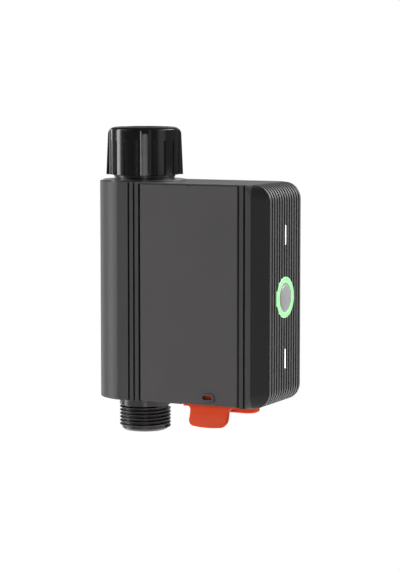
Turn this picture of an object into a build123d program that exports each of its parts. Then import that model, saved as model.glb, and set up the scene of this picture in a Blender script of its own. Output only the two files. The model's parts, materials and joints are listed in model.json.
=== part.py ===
from build123d import *

import os
from math import acos, atan2, cos, degrees, pi, radians, sin, tan

# Smart water valve that hangs from a garden tap by its swivel nut.
# Millimetres. +Z points up to the tap, +X to the button end, and the front faces -Y.
# The origin is on the pipe's axis, at the top face of the inlet washer.

os.makedirs("parts", exist_ok=True)

# Pipe thread G 3/4, which both ends of the valve use
thread_major_r = 13.22
thread_depth = 1.162
thread_pitch = 1.814
thread_crest_share = 1 / 6
thread_bite = 0.15

# Casing
round_end_ease = 0.4
bevel_width = 9.1
bevel_depth = 3.9
corner_r = 8.5
face_corner_width = 2.95
face_corner_height = 5.6
wall = 2.2
hole_clearance = 0.3
seat_clearance = 0.1
running_clearance = 0.05
part_gap = 0.3
front_room = 2.7
end_room = 14.7
case_gap = 0.8
case_head_gap = 1.5
overrun = 1.0

# Ribs round the button end
rib_count = 13
rib_edge_width = 2.375
rib_groove_width = 1.35
rib_groove_depth = 1.0
rib_floor_corner_r = 9.8
rib_run_out = 0.1

# Front panel and the grooves beside it
panel_left_x = 9.0
panel_right_reach = 16.3
panel_gap = 1.0
panel_thickness = 1.2
panel_rise = 0.5
panel_drop = 0.6
panel_edge = 0.3
panel_notch_r = 0.6
panel_notch_depth = 0.7
front_groove_width = 1.0
front_groove_depth = 1.0
front_groove_left_gaps = (6.5, 3.5)
front_groove_right_gap = 3.7

# Lock window in the front panel
window_rise = 4.4
window_width = 5.3
window_height = 2.2
window_rim = 0.85
window_rim_height = 0.6
window_corner_r = 1.0

# Swivel nut
nut_height = 24.3
seat_above_nut_foot = 10.85
nut_shell = 4.4
nut_foot_flare = 2.0
nut_head_flare = 1.15
nut_top_r = 4.0
nut_wing_count = 4
nut_wing_width = 3.2
nut_wing_flare_r = 2.2
nut_wing_turn = 28.0
nut_slot_angles = (15.0, 35.0, 55.0, 75.0)
nut_slot_width = 1.1
nut_slot_depth = 0.8
nut_slot_drop = 6.6
nut_lip_height = 5.5
nut_lip_gap = 0.4
nut_chamber_above_seat = 1.2
nut_chamber_ease = 0.08
nut_lead_in_ease = 0.38
nut_lead_in_height = 1.9
neck_gap = 3.15

# Inlet neck, tail and washer
neck_shell = 2.14
neck_flange_inset = 1.7
neck_flange_height = 0.7
neck_rim_width = 0.39
neck_rim_height = 0.9
neck_groove_height = 0.4
neck_groove_depth = 0.5
neck_nut_gap = 0.25
seal_width = 1.6
seal_depth = 1.2
spigot_drop = 2.22
spigot_wall = 2.5
tail_flange_drop = 0.62
tail_flange_height = 2.5
tail_tube_length = 8.0
tail_bite = 0.7
tail_wall = 1.6
washer_height = 2.5
washer_ease = 0.1
screen_ledge = 1.0
screen_thickness = 0.5
screen_pitch = 2.2
screen_hole_r = 0.7
screen_ring_count = 3
screen_holes_per_ring = 6

# Outlet neck
outlet_length = 17.8
outlet_chamfer = 1.0
outlet_collar_height = 4.6
outlet_waist_height = 0.9
outlet_waist_drop = 0.32
outlet_thread_lift = 0.58
outlet_flange_width = 2.98
outlet_flange_height = 2.2
outlet_sleeve_length = 9.6

# Valve body and ball
valve_wall = 2.75
valve_bore_r = 9.0
ball_r = 11.5
ball_bore_r = 7.0
chamber_half_height = 14.5
chamber_room = 0.55
seat_height = 8.0
ball_slot_width = 3.2
ball_slot_depth = 3.1
neck_sleeve_length = 11.5
pad_reach = 5.2
pad_margin = 2.8
pad_root_share = 0.66

# Stem
stem_r = 4.0
stem_collar_r = 5.2
stem_collar_height = 1.1
stem_collar_inset = 4.4
stem_head_rise = 2.2
stem_head_r = 3.0
stem_flat = 2.4
stem_step = 1.0
stem_tang_width = 3.0
stem_ring_r = 0.45
stem_ring_insets = (7.2, 5.6)

# Gear train, all on axes along X
gear_pressure_angle = 25.0
gear_addendum_share = 0.8
gear_dedendum_share = 1.0
gear_flank_shares = (0, 0.3, 0.65, 1)
gear_backlash = 0.08
pinion_teeth = 10
output_teeth = 36
output_module = 0.8
output_width = 3.8
gear_floor_gap = 1.2
gear_gap = 0.8
idler_teeth = 28
idler_module = 0.5
idler_width = 1.8
second_teeth = 28
second_module = 0.4
second_width = 1.4
pinion_margin = 0.2
idler_angle = 90.0
second_angle = -20.0
motor_angle = 243.0
axle_r = 1.0
axle_bite = 1.0

# Gearbox case and motor
case_floor = 1.4
case_wall = 1.5
case_lid = 1.2
case_side_room = 0.66
case_foot_room = 0.26
case_top_room = 2.0
case_screw_r = 1.25
case_screw_head_r = 2.3
case_screw_length = 7.0
case_screw_place = 8.2
case_corner_r = 3.0
lid_post_r = 2.0
lid_post_inset = 1.4
lid_screw_r = 0.9
lid_screw_head_r = 1.7
lid_screw_length = 8.0
motor_r = 7.75
motor_length = 20.0
motor_boss_r = 3.0
motor_boss_height = 1.0
motor_shaft_r = 0.75
motor_shaft_depth = 3.0
motor_terminal = 1.6
motor_terminal_width = 0.6
motor_terminal_place = 4.0

# Flow turbine in the valve body's lower bore
turbine_above_foot = 36.0
turbine_half_length = 6.0
turbine_tip_gap = 0.8
turbine_hub_r = 2.4
turbine_blade_count = 4
turbine_blade_thickness = 0.9
turbine_blade_tilt = 38.0
turbine_shaft_r = 0.8
turbine_cage_height = 3.0
turbine_cage_wall = 0.9
turbine_arm_width = 1.2
turbine_arm_count = 3

# Battery bay, tray and cells
cell_r = 7.25
cell_length = 49.5
cell_nub_r = 2.7
cell_nub_height = 1.0
cell_spacing = 0.7
tray_wall = 0.9
tray_floor = 1.2
bay_wall = 1.2
bay_ledge = 1.4
bay_ledge_height = 1.2
tray_gap = 0.3
tray_plug_height = 4.0
tray_seal_height = 1.4
tray_seal_depth = 1.0
tray_spring_height = 2.0
tray_window_share = 0.7
tray_grip_height = 4.8
tray_grip_flange = 2.2
tray_grip_front_inset = 8.1
tray_grip_back_inset = 12.1
tray_grip_corner_r = 5.0
tray_grip_edge_r = 1.0
contact_thickness = 0.6
contact_pin_r = 0.8

# Release lever and its hinge
lever_gap = 0.4
lever_thickness = 1.6
lever_half_width = 10.7
lever_arm_half_width = 14.3
lever_arm_rise = 7.6
lever_arm_drop = 0.8
lever_fillet_r = 1.5
lever_bend_drop = 4.4
lever_bend_r = 7.5
lever_edge_r = 0.6
lever_tip_drop = 10.7
lever_tip_reach = 3.6
lever_tip_corner_r = 3.6
lever_tip_bow = 0.9
lever_nub_height = 0.2
lever_nub_margin = 0.3
hinge_inset = 1.8
hinge_drop = 2.0
hinge_r = 1.5
hinge_pin_r = 0.6
hinge_half_width = 4.4
hinge_ear = 3.0
hinge_web = 2.2
notch_head_gap = 0.7
notch_margin = 0.6

# Button, light ring and light bars
button_drop = 1.3
ring_r = 10.25
ring_lip_width = 2.5
ring_sleeve_wall = 1.15
ring_lip_thickness = 3.3
ring_sleeve_length = 4.0
ring_proud = 0.2
ring_flange_width = 1.15
ring_flange_thickness = 1.0
ring_edge_r = 0.4
button_gap = 0.35
button_proud = 0.8
button_dome = 0.9
button_flange_gap = 0.4
button_flange_thickness = 0.8
button_travel = 0.6
button_wall = 1.8
button_pip_r = 1.5
bar_reaches = (-30.9, 31.3)
bar_length = 9.7
bar_width = 0.9
bar_foot_length = 12.0
bar_foot_width = 2.4
bar_foot_thickness = 1.2

# Main board and what it carries
board_thickness = 1.6
board_post_length = 6.6
board_side_gap = 2.6
board_rise = 9.5
board_head_gap = 10.0
board_post_r = 2.4
board_post_inset = 3.5
board_post_foot = 5.0
board_post_head = 6.0
board_screw_r = 1.0
board_screw_head_r = 1.9
board_screw_head = 1.2
board_screw_length = 6.0
switch_size = 6.0
switch_height = 2.6
plunger_r = 1.7
plunger_length = 1.8
plunger_reach = 1.0
led_size = 1.6
led_height = 0.8
led_inset = 0.5
led_count = 4
radio_drop = 21.0
radio_size = (16.0, 20.0)
radio_height = 2.2
connector_drops = (35.0, 8.0)
connector_size = (8.0, 4.0)
connector_height = 2.4

# Rear cover, its gasket and screws
gasket_width = 1.0
gasket_depth = 1.0
cover_post_valve_gap = 5.0
cover_post_bay_gap = 5.1
cover_screw_foot = 7.0
cover_screw_case_gap = 5.0
cover_screw_top = 6.6
cover_screw_inner = 9.7
cover_screw_right = 14.2
cover_screw_corner = (12.3, 6.5)
cover_post_r = 2.2
cover_screw_r = 1.0
cover_screw_head_r = 1.8
cover_screw_head = 1.5
cover_screw_length = 12.0
cover_screw_seat = 2.0

# Sensor board beside the valve body
sensor_length = 14.0
sensor_width = 8.0
sensor_thickness = 1.0
sensor_chip = 3.0

# Places across the model, worked out from the sizes above
cell_pitch = 2 * cell_r + cell_spacing
tray_half = cell_pitch + tray_wall
bay_inner_half = tray_half + tray_gap
bay_half = bay_inner_half + bay_wall
body_half_depth = bay_half + front_room + wall
band_half_depth = body_half_depth - bevel_depth
round_end_r = body_half_depth + round_end_ease
chamber_r = ball_r + chamber_room
sleeve_r = chamber_r - seat_clearance
valve_r = chamber_r + valve_wall
pad_face_x = valve_r + pad_reach
pad_half_width = case_screw_place + pad_margin
cover_post_x = valve_r + cover_post_valve_gap + cover_post_r
bay_left_x = cover_post_x + cover_post_r + cover_post_bay_gap
tray_x = bay_left_x + bay_half
end_x = tray_x + bay_half + end_room
face_end_x = end_x - bevel_width
panel_right_x = tray_x + panel_right_reach
front_groove_xs = [panel_left_x - gap for gap in front_groove_left_gaps] + [panel_right_x + front_groove_right_gap]
rib_pitch = 2 * (band_half_depth - rib_edge_width) / (rib_count - 2)
case_floor_x = pad_face_x + case_floor
output_x = case_floor_x + gear_floor_gap
idler_x = output_x + output_width + gear_gap
second_x = idler_x + idler_width + gear_gap
case_lid_x = second_x + second_width + gear_gap
board_x = end_x - wall - board_post_length - board_thickness
board_face_x = board_x + board_thickness
bevel_angle = atan2(bevel_depth, bevel_width)
thread_minor_r = thread_major_r - thread_depth
nut_chamber_r = thread_major_r + nut_chamber_ease
nut_core_r = nut_chamber_r + nut_shell
nut_foot_r = nut_core_r + nut_foot_flare
nut_head_r = nut_core_r + nut_head_flare
neck_r = thread_major_r + neck_shell
neck_flange_r = round_end_r - neck_flange_inset
spigot_r = thread_major_r - spigot_drop
tail_flange_r = thread_major_r - tail_flange_drop
washer_r = thread_minor_r - washer_ease
neck_bore_r = spigot_r - spigot_wall
tail_tube_r = neck_bore_r + tail_bite
tail_bore_r = tail_tube_r - tail_wall
screen_r = tail_bore_r + screen_ledge

# Heights, from the cells up to the casing's top
output_tip_r = output_module * (output_teeth / 2 + gear_addendum_share)
idler_tip_r = idler_module * (idler_teeth / 2 + gear_addendum_share)
second_tip_r = second_module * (second_teeth / 2 + gear_addendum_share)
idler_reach = output_module * (output_teeth + pinion_teeth) / 2
cell_foot = tray_plug_height + tray_floor + tray_spring_height
bay_height = cell_foot + cell_length + cell_nub_height + tray_gap + 2 * contact_thickness + bay_wall
ball_height = bay_height + case_gap + case_wall + case_foot_room + output_tip_r
idler_height = ball_height + idler_reach * sin(radians(idler_angle))
body_height = idler_height + idler_tip_r + case_top_room + case_wall + case_head_gap + wall
nut_foot_z = -seat_above_nut_foot
nut_top_z = nut_foot_z + nut_height
body_top_z = nut_foot_z - neck_gap
body_foot_z = body_top_z - body_height
outlet_end_z = body_foot_z - outlet_length
valve_foot_z = body_foot_z + wall + outlet_flange_height
ball_z = body_foot_z + ball_height
case_foot_z = ball_z - output_tip_r - case_foot_room - case_wall
chamber_foot_z = ball_z - chamber_half_height
chamber_head_z = ball_z + chamber_half_height
valve_top_z = chamber_head_z + neck_sleeve_length
turbine_z = body_foot_z + turbine_above_foot
button_z = (body_foot_z + body_top_z) / 2 - button_drop
bar_zs = [button_z + reach for reach in bar_reaches]
board_foot_z = body_foot_z + board_rise
board_top_z = body_top_z - board_head_gap
cover_screw_places = (
    (cover_post_x, body_foot_z + cover_screw_foot),
    (cover_post_x, case_foot_z - cover_screw_case_gap - cover_post_r),
    (bay_left_x + cover_screw_inner, body_top_z - cover_screw_top),
    (end_x - cover_screw_right, body_top_z - cover_screw_top),
    (end_x - cover_screw_corner[0], body_foot_z + cover_screw_corner[1]),
)


def level(z):
    """Plane at height z, facing up."""
    return Plane.XY.offset(z)


def front_plane(y):
    """Plane at depth y that faces the front: its own x is X and its own y is Z."""
    return Plane.XZ.offset(-y)


def side_plane(x):
    """Plane at x that faces the button end: its own x is Y and its own y is Z."""
    return Plane.YZ.offset(x)


def block(xs, ys, zs, mode=Mode.ADD):
    """Box between two values on each axis, in the open part."""
    middle = tuple((low + high) / 2 for low, high in (xs, ys, zs))
    with Locations(middle):
        Box(xs[1] - xs[0], ys[1] - ys[0], zs[1] - zs[0], mode=mode)


def rod(radius, start, length, turn, mode=Mode.ADD):
    """Cylinder from start, in the direction that turn gives to its axis."""
    with Locations(Location(start, turn)):
        Cylinder(radius, length, align=(Align.CENTER, Align.CENTER, Align.MIN), mode=mode)


def rod_x(radius, x, y, z, length, mode=Mode.ADD):
    """Cylinder along +X from the point given."""
    rod(radius, (x, y, z), length, (0, 90, 0), mode)


def rod_y(radius, x, y, z, length, mode=Mode.ADD):
    """Cylinder along +Y from the point given."""
    rod(radius, (x, y, z), length, (-90, 0, 0), mode)


def rod_z(radius, z, length, mode=Mode.ADD, x=0, y=0):
    """Cylinder along +Z from height z."""
    rod(radius, (x, y, z), length, (0, 0, 0), mode)


def save(part, name):
    """Label a finished piece and write its STEP file."""
    part.label = name
    export_step(part, f"parts/{name}.step")


def thread_ridge(foot_z, height, wall_r, crest_r, bite):
    """Helical ridge of the pipe thread, from the wall that carries it to its crest."""
    crest = thread_pitch * thread_crest_share
    root = thread_pitch - crest
    with BuildPart() as ridge:
        with BuildLine():
            spiral = Helix(pitch=thread_pitch, height=height, radius=wall_r, center=(0, 0, foot_z))
        start = Plane(origin=spiral @ 0, x_dir=(1, 0, 0), z_dir=spiral % 0)
        with BuildSketch(start):
            with BuildLine():
                Polyline((bite, -root / 2), (crest_r - wall_r, -crest / 2),
                         (crest_r - wall_r, crest / 2), (bite, root / 2), close=True)
            make_face()
        sweep(path=spiral, is_frenet=True)
    return ridge.part


def casing_solid(inset):
    """The casing's outer shape, moved inwards by inset."""
    half_depth = body_half_depth - inset
    band = band_half_depth - inset * tan((pi / 2 - bevel_angle) / 2)
    right = end_x - inset
    face_right = face_end_x - inset * tan(bevel_angle / 2)
    foot = body_foot_z + inset
    top = body_top_z - inset
    radius = corner_r - inset
    left = -round_end_r - overrun
    with BuildPart() as plan:
        with BuildSketch(level(foot)):
            Circle(round_end_r - inset)
            Rectangle(2 * round_end_r, 2 * half_depth, mode=Mode.INTERSECT)
            with Locations((right / 2, 0)):
                Rectangle(right, 2 * half_depth)
        extrude(amount=top - foot)
    with BuildSketch(front_plane(band)) as back_section:
        rounded_end(left, right, foot, top, radius)
    with BuildSketch(front_plane(-band)) as front_section:
        rounded_end(left, right, foot, top, radius)
    with BuildSketch(front_plane(half_depth)) as back_face:
        cut_end(left, face_right, foot, top)
    with BuildSketch(front_plane(-half_depth)) as front_face:
        cut_end(left, face_right, foot, top)
    with BuildPart() as mould:
        extrude(back_section.sketch, amount=2 * band)
        loft(sections=[front_section.sketch, front_face.sketch], ruled=True)
        loft(sections=[back_section.sketch, back_face.sketch], ruled=True)
        add(plan.part, mode=Mode.INTERSECT)
    return mould.part


def rounded_end(left, right, foot, top, radius, mode=Mode.ADD):
    """Upright section whose two right corners are quarter circles."""
    with BuildLine() as outline:
        Line((left, foot), (right - radius, foot))
        JernArc((right - radius, foot), (1, 0), radius, 90)
        Line((right, foot + radius), (right, top - radius))
        JernArc((right, top - radius), (0, 1), radius, 90)
        Polyline((right - radius, top), (left, top), (left, foot))
    make_face(outline.edges(), mode=mode)


def cut_end(left, right, foot, top):
    """Upright section whose two right corners are cut off straight."""
    with BuildLine() as outline:
        Polyline((left, foot), (right - face_corner_width, foot), (right, foot + face_corner_height),
                 (right, top - face_corner_height), (right - face_corner_width, top),
                 (left, top), close=True)
    make_face(outline.edges())


def bay_block(inset, foot, top, mode=Mode.ADD):
    """Box round the cells at the bay's outer face, moved inwards by inset."""
    half = bay_half - inset
    block((tray_x - half, tray_x + half), (-half, half), (foot, top), mode)


def tooth(module, teeth):
    """Points of one involute tooth that points along +x."""
    pitch_r = module * teeth / 2
    base_r = pitch_r * cos(radians(gear_pressure_angle))
    tip_r = pitch_r + module * gear_addendum_share
    root_r = pitch_r - module * gear_dedendum_share
    pitch_half = pi / (2 * teeth) - gear_backlash / (4 * pitch_r)
    pitch_inv = tan(radians(gear_pressure_angle)) - radians(gear_pressure_angle)
    flank = []
    for share in gear_flank_shares:
        radius = base_r + (tip_r - base_r) * share
        roll = acos(base_r / radius)
        half = pitch_half + pitch_inv - (tan(roll) - roll)
        flank.append((radius * cos(half), radius * sin(half)))
    inner = root_r - module / 2
    foot_half = pitch_half + pitch_inv
    flank.insert(0, (inner * cos(foot_half), inner * sin(foot_half)))
    return flank + [(x, -y) for x, y in reversed(flank)]


def gear(module, teeth, centre, turn, x, width, mode=Mode.ADD):
    """Spur gear in the open part, with one tooth at the angle turn from +Y towards +Z."""
    with BuildSketch(side_plane(x)) as profile:
        with Locations(centre):
            Circle(module * (teeth / 2 - gear_dedendum_share))
            with PolarLocations(0, teeth, start_angle=turn):
                Polygon(*tooth(module, teeth), align=None)
    extrude(profile.sketch, amount=width, mode=mode)


def gear_place(start, module, teeth, angle):
    """Centre of a pinion that meshes with a wheel at start, in the direction angle."""
    reach = module * (teeth + pinion_teeth) / 2
    return start[0] + reach * cos(radians(angle)), start[1] + reach * sin(radians(angle))


def facing_gap(angle):
    """Turn that puts a pinion's gap on the line back to the wheel that drives it."""
    return angle + 180 + 180 / pinion_teeth


def ring_along_x(outer_r, inner_r, x, width, mode=Mode.ADD):
    """Ring round the ball's axis, from x along +X."""
    with BuildSketch(side_plane(x)) as profile:
        with Locations((0, ball_z)):
            Circle(outer_r)
            Circle(inner_r, mode=Mode.SUBTRACT)
    extrude(profile.sketch, amount=width, mode=mode)


def seal_groove(z):
    """Groove for a rubber ring round a neck's sleeve, with its middle at height z."""
    with BuildSketch(level(z - seal_width / 2)) as profile:
        Circle(sleeve_r + overrun)
        Circle(sleeve_r - seal_depth, mode=Mode.SUBTRACT)
    extrude(profile.sketch, amount=seal_width, mode=Mode.SUBTRACT)


def case_section(inset, x, width, mode=Mode.ADD):
    """Slice of the gearbox case's outline, moved inwards by inset."""
    with BuildSketch(side_plane(x)) as profile:
        with Locations((0, (case_foot_z + case_top_z) / 2)):
            RectangleRounded(2 * (case_half_width - inset), case_top_z - case_foot_z - 2 * inset,
                             case_corner_r - inset)
    extrude(profile.sketch, amount=width, mode=mode)


def screw_x(y, z, head_x, radius, head_r, length, clearance, mode=Mode.ADD):
    """Countersunk screw along -X whose head ends at head_x, or its hole."""
    with BuildSketch(Plane.XZ.offset(-y)) as profile:
        with BuildLine() as outline:
            Polyline((head_x - length - clearance, z), (head_x - length - clearance, z + radius + clearance),
                     (head_x - head_r + radius, z + radius + clearance),
                     (head_x, z + head_r + clearance), (head_x, z), close=True)
        make_face(outline.edges())
    revolve(profile.sketch, axis=Axis((0, y, z), (1, 0, 0)), mode=mode)


def tray_box(half, foot, top, mode=Mode.ADD):
    """Square block round the cells, from one height to another."""
    block((tray_x - half, tray_x + half), (-half, half), (foot, top), mode)


def tray_ring(inner_half, outer_half, foot, height, mode=Mode.ADD):
    """Square ring round the tray's plug."""
    with BuildSketch(level(foot)) as profile:
        with Locations((tray_x, 0)):
            Rectangle(2 * outer_half, 2 * outer_half)
            Rectangle(2 * inner_half, 2 * inner_half, mode=Mode.SUBTRACT)
    extrude(profile.sketch, amount=height, mode=mode)


ball_centre = (0, ball_z)
idler_centre = gear_place(ball_centre, output_module, output_teeth, idler_angle)
second_centre = gear_place(idler_centre, idler_module, idler_teeth, second_angle)
motor_centre = gear_place(second_centre, second_module, second_teeth, motor_angle)
case_half_width = max(output_tip_r + case_side_room, second_centre[0] + second_tip_r + part_gap) + case_wall
case_top_z = idler_centre[1] + idler_tip_r + case_top_room + case_wall
lever_face = body_half_depth - panel_thickness - lever_gap
hinge_front = lever_face - lever_thickness - hinge_inset
notch_half = lever_arm_half_width + notch_margin
notch_top_z = body_foot_z + lever_arm_rise + notch_head_gap
front_inner_y = wall - body_half_depth
panel_back_y = panel_thickness - body_half_depth
gasket_edge = (wall - gasket_width) / 2
gasket_left_x = gasket_edge - (round_end_r ** 2 - band_half_depth ** 2) ** 0.5
neck_rim_z = nut_foot_z - neck_nut_gap - neck_rim_height
spigot_top_z = -washer_height - tail_flange_height
inlet_seal_z = (chamber_head_z + valve_top_z) / 2
outlet_seal_z = valve_foot_z + outlet_sleeve_length / 2
outlet_thread_z = body_foot_z - outlet_length + outlet_chamfer + outlet_thread_lift
outlet_thread_height = body_foot_z - outlet_collar_height - thread_pitch / 2 - outlet_thread_z
pad_root_x = chamber_r * pad_root_share
gland_end_x = pad_face_x - stem_step
stem_end_x = output_x + output_width + stem_head_rise
stem_collar_x = pad_face_x - stem_collar_inset
stem_ring_xs = [pad_face_x - inset for inset in stem_ring_insets]
turbine_blade_r = valve_bore_r - turbine_tip_gap
case_screw_places = [(side * case_screw_place, ball_z + rise * case_screw_place)
                     for side in (-1, 1) for rise in (-1, 1)]
lid_screw_places = [(side * (case_half_width - case_wall - lid_post_inset), z)
                    for side in (-1, 1)
                    for z in (case_foot_z + case_wall + lid_post_inset, case_top_z - case_wall - lid_post_inset)]
cell_places = [(tray_x + side * cell_pitch / 2, depth * cell_pitch / 2) for side in (-1, 1) for depth in (-1, 1)]
tray_foot_z = body_foot_z + tray_plug_height
cell_foot_z = body_foot_z + cell_foot
tray_top_z = cell_foot_z + cell_length + cell_nub_height + tray_gap
bay_ceiling_z = tray_top_z + 2 * contact_thickness
bay_top_z = bay_ceiling_z + bay_wall
tray_seal_z = body_foot_z + tray_seal_height
seal_inner_half = tray_half - tray_seal_depth
hinge_z = body_foot_z - hinge_drop
hinge_span = hinge_half_width + part_gap + hinge_ear
lever_top_z = body_foot_z + lever_arm_rise
lever_arm_z = body_foot_z - lever_arm_drop
lever_bend_z = body_foot_z - lever_bend_drop
lever_tip_z = body_foot_z - lever_tip_drop
lever_end_z = lever_tip_z + lever_tip_bow
lever_bend = atan2(lever_tip_reach, lever_tip_drop - lever_bend_drop)
lever_inner_drop = lever_thickness * tan(lever_bend / 2)
lever_tip_thickness = lever_thickness / cos(lever_bend)
lever_nub_half_width = window_width / 2 - lever_nub_margin
lever_nub_half_height = window_height / 2 - lever_nub_margin
ring_lip_r = ring_r - ring_lip_width
ring_sleeve_r = ring_r - ring_sleeve_wall
ring_flange_r = ring_r + ring_flange_width
button_r = ring_lip_r - button_gap
button_flange_r = ring_sleeve_r - button_flange_gap
button_core_r = button_r - button_wall
button_dome_r = (button_r ** 2 + button_dome ** 2) / (2 * button_dome)
plunger_end_x = board_face_x + switch_height + plunger_reach
board_half_width = band_half_depth - board_side_gap
board_post_y = board_half_width - board_post_inset
board_post_places = [(side * board_post_y, post_z) for side in (-1, 1)
                     for post_z in (board_foot_z + board_post_foot, board_top_z - board_post_head)]
window_z = body_foot_z + window_rise
casing = casing_solid(0)
hollow = casing_solid(wall)

# Upright section of one groove between the ribs
with BuildSketch(front_plane(0)) as rib_cutter:
    with Locations((end_x, (body_foot_z + body_top_z) / 2)):
        Rectangle(4 * corner_r, body_height + 2 * overrun)
    rounded_end(0, end_x - rib_groove_depth, body_foot_z - rib_run_out, body_top_z + rib_run_out,
                rib_floor_corner_r, Mode.SUBTRACT)

# Housing: the tub with the round end, the ribbed end and the front wall, open at the back
with BuildPart() as housing:
    add(casing)
    split(bisect_by=front_plane(band_half_depth), keep=Keep.TOP)
    add(hollow, mode=Mode.SUBTRACT)
    for place_x, place_z in cover_screw_places:
        rod_y(cover_post_r, place_x, front_inner_y, place_z, band_half_depth - front_inner_y)
    for place in board_post_places:
        rod_x(board_post_r, board_face_x, *place, end_x - wall - board_face_x)
    block((tray_x - notch_half - bay_wall, tray_x + notch_half + bay_wall),
          (front_inner_y - seat_clearance, -bay_half - seat_clearance), (body_foot_z, notch_top_z + bay_wall))
    # grooves between the ribs, which run out on the top and the underside
    for index in range(rib_count - 1):
        groove_y = (index + 1 - rib_count / 2) * rib_pitch
        cutter = rib_cutter.sketch.moved(Location((0, groove_y + rib_groove_width / 2, 0)))
        extrude(cutter, amount=rib_groove_width, mode=Mode.SUBTRACT)
    # front grooves and the recess of the front panel
    for groove_x in front_groove_xs:
        block((groove_x - front_groove_width / 2, groove_x + front_groove_width / 2),
              (-body_half_depth - overrun, front_groove_depth - body_half_depth),
              (body_foot_z - overrun, body_top_z + overrun), Mode.SUBTRACT)
    block((panel_left_x - panel_gap, panel_right_x + panel_gap),
          (-body_half_depth - overrun, panel_back_y),
          (body_foot_z - overrun, body_top_z - panel_drop + seat_clearance), Mode.SUBTRACT)
    # pocket that the release lever slides in
    block((tray_x - notch_half, tray_x + notch_half), (-body_half_depth, -bay_half),
          (body_foot_z - overrun, notch_top_z), Mode.SUBTRACT)
    bay_block(-seat_clearance, body_foot_z - overrun, body_foot_z + wall + seat_clearance, Mode.SUBTRACT)
    # holes of the two necks
    rod_z(neck_r + hole_clearance, body_top_z - wall - overrun, wall + 2 * overrun, Mode.SUBTRACT)
    rod_z(thread_major_r + hole_clearance, body_foot_z - overrun, wall + 2 * overrun, Mode.SUBTRACT)
    # hole of the light ring and slots of the light bars
    rod_x(ring_r + seat_clearance, end_x - wall - overrun, 0, button_z, wall + 2 * overrun, Mode.SUBTRACT)
    for bar_z in bar_zs:
        half = bar_length / 2 + seat_clearance
        block((end_x - wall - overrun, end_x + overrun),
              (-bar_width / 2 - seat_clearance, bar_width / 2 + seat_clearance),
              (bar_z - half, bar_z + half), Mode.SUBTRACT)
    # groove of the rear gasket
    with BuildSketch(front_plane(band_half_depth)) as gasket_groove:
        rounded_end(gasket_left_x, end_x - gasket_edge, body_foot_z + gasket_edge,
                    body_top_z - gasket_edge, corner_r - gasket_edge)
        rounded_end(gasket_left_x + gasket_width, end_x - gasket_edge - gasket_width,
                    body_foot_z + gasket_edge + gasket_width, body_top_z - gasket_edge - gasket_width,
                    corner_r - gasket_edge - gasket_width, Mode.SUBTRACT)
    extrude(amount=gasket_depth, mode=Mode.SUBTRACT)
    # screw holes in the posts
    for place_x, place_z in cover_screw_places:
        rod_y(cover_screw_r + running_clearance, place_x,
              band_half_depth + cover_screw_seat - cover_screw_length - overrun,
              place_z, cover_screw_length + overrun, Mode.SUBTRACT)
    for place in board_post_places:
        rod_x(board_screw_r + running_clearance, board_x, *place, board_screw_length + running_clearance,
              Mode.SUBTRACT)
save(housing.part, "housing")

# Rear gasket, a flat ring in a groove of the housing's rim
with BuildPart() as rear_gasket:
    with BuildSketch(front_plane(band_half_depth)) as gasket_ring:
        rounded_end(gasket_left_x, end_x - gasket_edge, body_foot_z + gasket_edge,
                    body_top_z - gasket_edge, corner_r - gasket_edge)
        rounded_end(gasket_left_x + gasket_width, end_x - gasket_edge - gasket_width,
                    body_foot_z + gasket_edge + gasket_width, body_top_z - gasket_edge - gasket_width,
                    corner_r - gasket_edge - gasket_width, Mode.SUBTRACT)
    extrude(amount=gasket_depth)
save(rear_gasket.part, "rear_gasket")

# Rear cover, with a counterbored boss for each screw
with BuildPart() as rear_cover:
    add(casing)
    split(bisect_by=front_plane(band_half_depth), keep=Keep.BOTTOM)
    add(hollow, mode=Mode.SUBTRACT)
    for place_x, place_z in cover_screw_places:
        rod_y(cover_post_r, place_x, band_half_depth, place_z, cover_screw_seat)
    for place_x, place_z in cover_screw_places:
        rod_y(cover_screw_r + running_clearance, place_x, band_half_depth - overrun, place_z,
              bevel_depth + overrun, Mode.SUBTRACT)
        rod_y(cover_screw_head_r + hole_clearance, place_x, band_half_depth + cover_screw_seat, place_z,
              bevel_depth, Mode.SUBTRACT)
save(rear_cover.part, "rear_cover")

with BuildPart() as cover_screws:
    for place_x, place_z in cover_screw_places:
        seat_y = band_half_depth + cover_screw_seat
        rod_y(cover_screw_r, place_x, seat_y - cover_screw_length, place_z, cover_screw_length)
        rod_y(cover_screw_head_r, place_x, seat_y, place_z, cover_screw_head)
        rod_y(cover_screw_head_r / 2, place_x, seat_y + cover_screw_head / 2, place_z, cover_screw_head,
              Mode.SUBTRACT)
save(cover_screws.part, "cover_screws")

# Front panel with the lock window
with BuildPart() as front_panel:
    block((panel_left_x, panel_right_x), (-body_half_depth, panel_back_y),
          (body_foot_z + panel_rise, body_top_z - panel_drop))
    chamfer(front_panel.faces().sort_by(Axis.Y)[0].edges(), panel_edge)
    with BuildSketch(front_plane(-body_half_depth)):
        with Locations((tray_x, window_z)):
            RectangleRounded(window_width + 2 * window_rim, window_height + 2 * window_rim,
                             window_corner_r + window_rim)
    extrude(amount=window_rim_height)
    with BuildSketch(front_plane(panel_back_y)):
        with Locations((tray_x, window_z)):
            RectangleRounded(window_width, window_height, window_corner_r)
    extrude(amount=panel_thickness + window_rim_height, mode=Mode.SUBTRACT)
    # notch in the middle of the top edge, where the panel is prised off
    rod_y(panel_notch_r, (panel_left_x + panel_right_x) / 2, -body_half_depth - overrun,
          body_top_z - panel_drop, panel_notch_depth + overrun, Mode.SUBTRACT)
save(front_panel.part, "front_panel")

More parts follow.
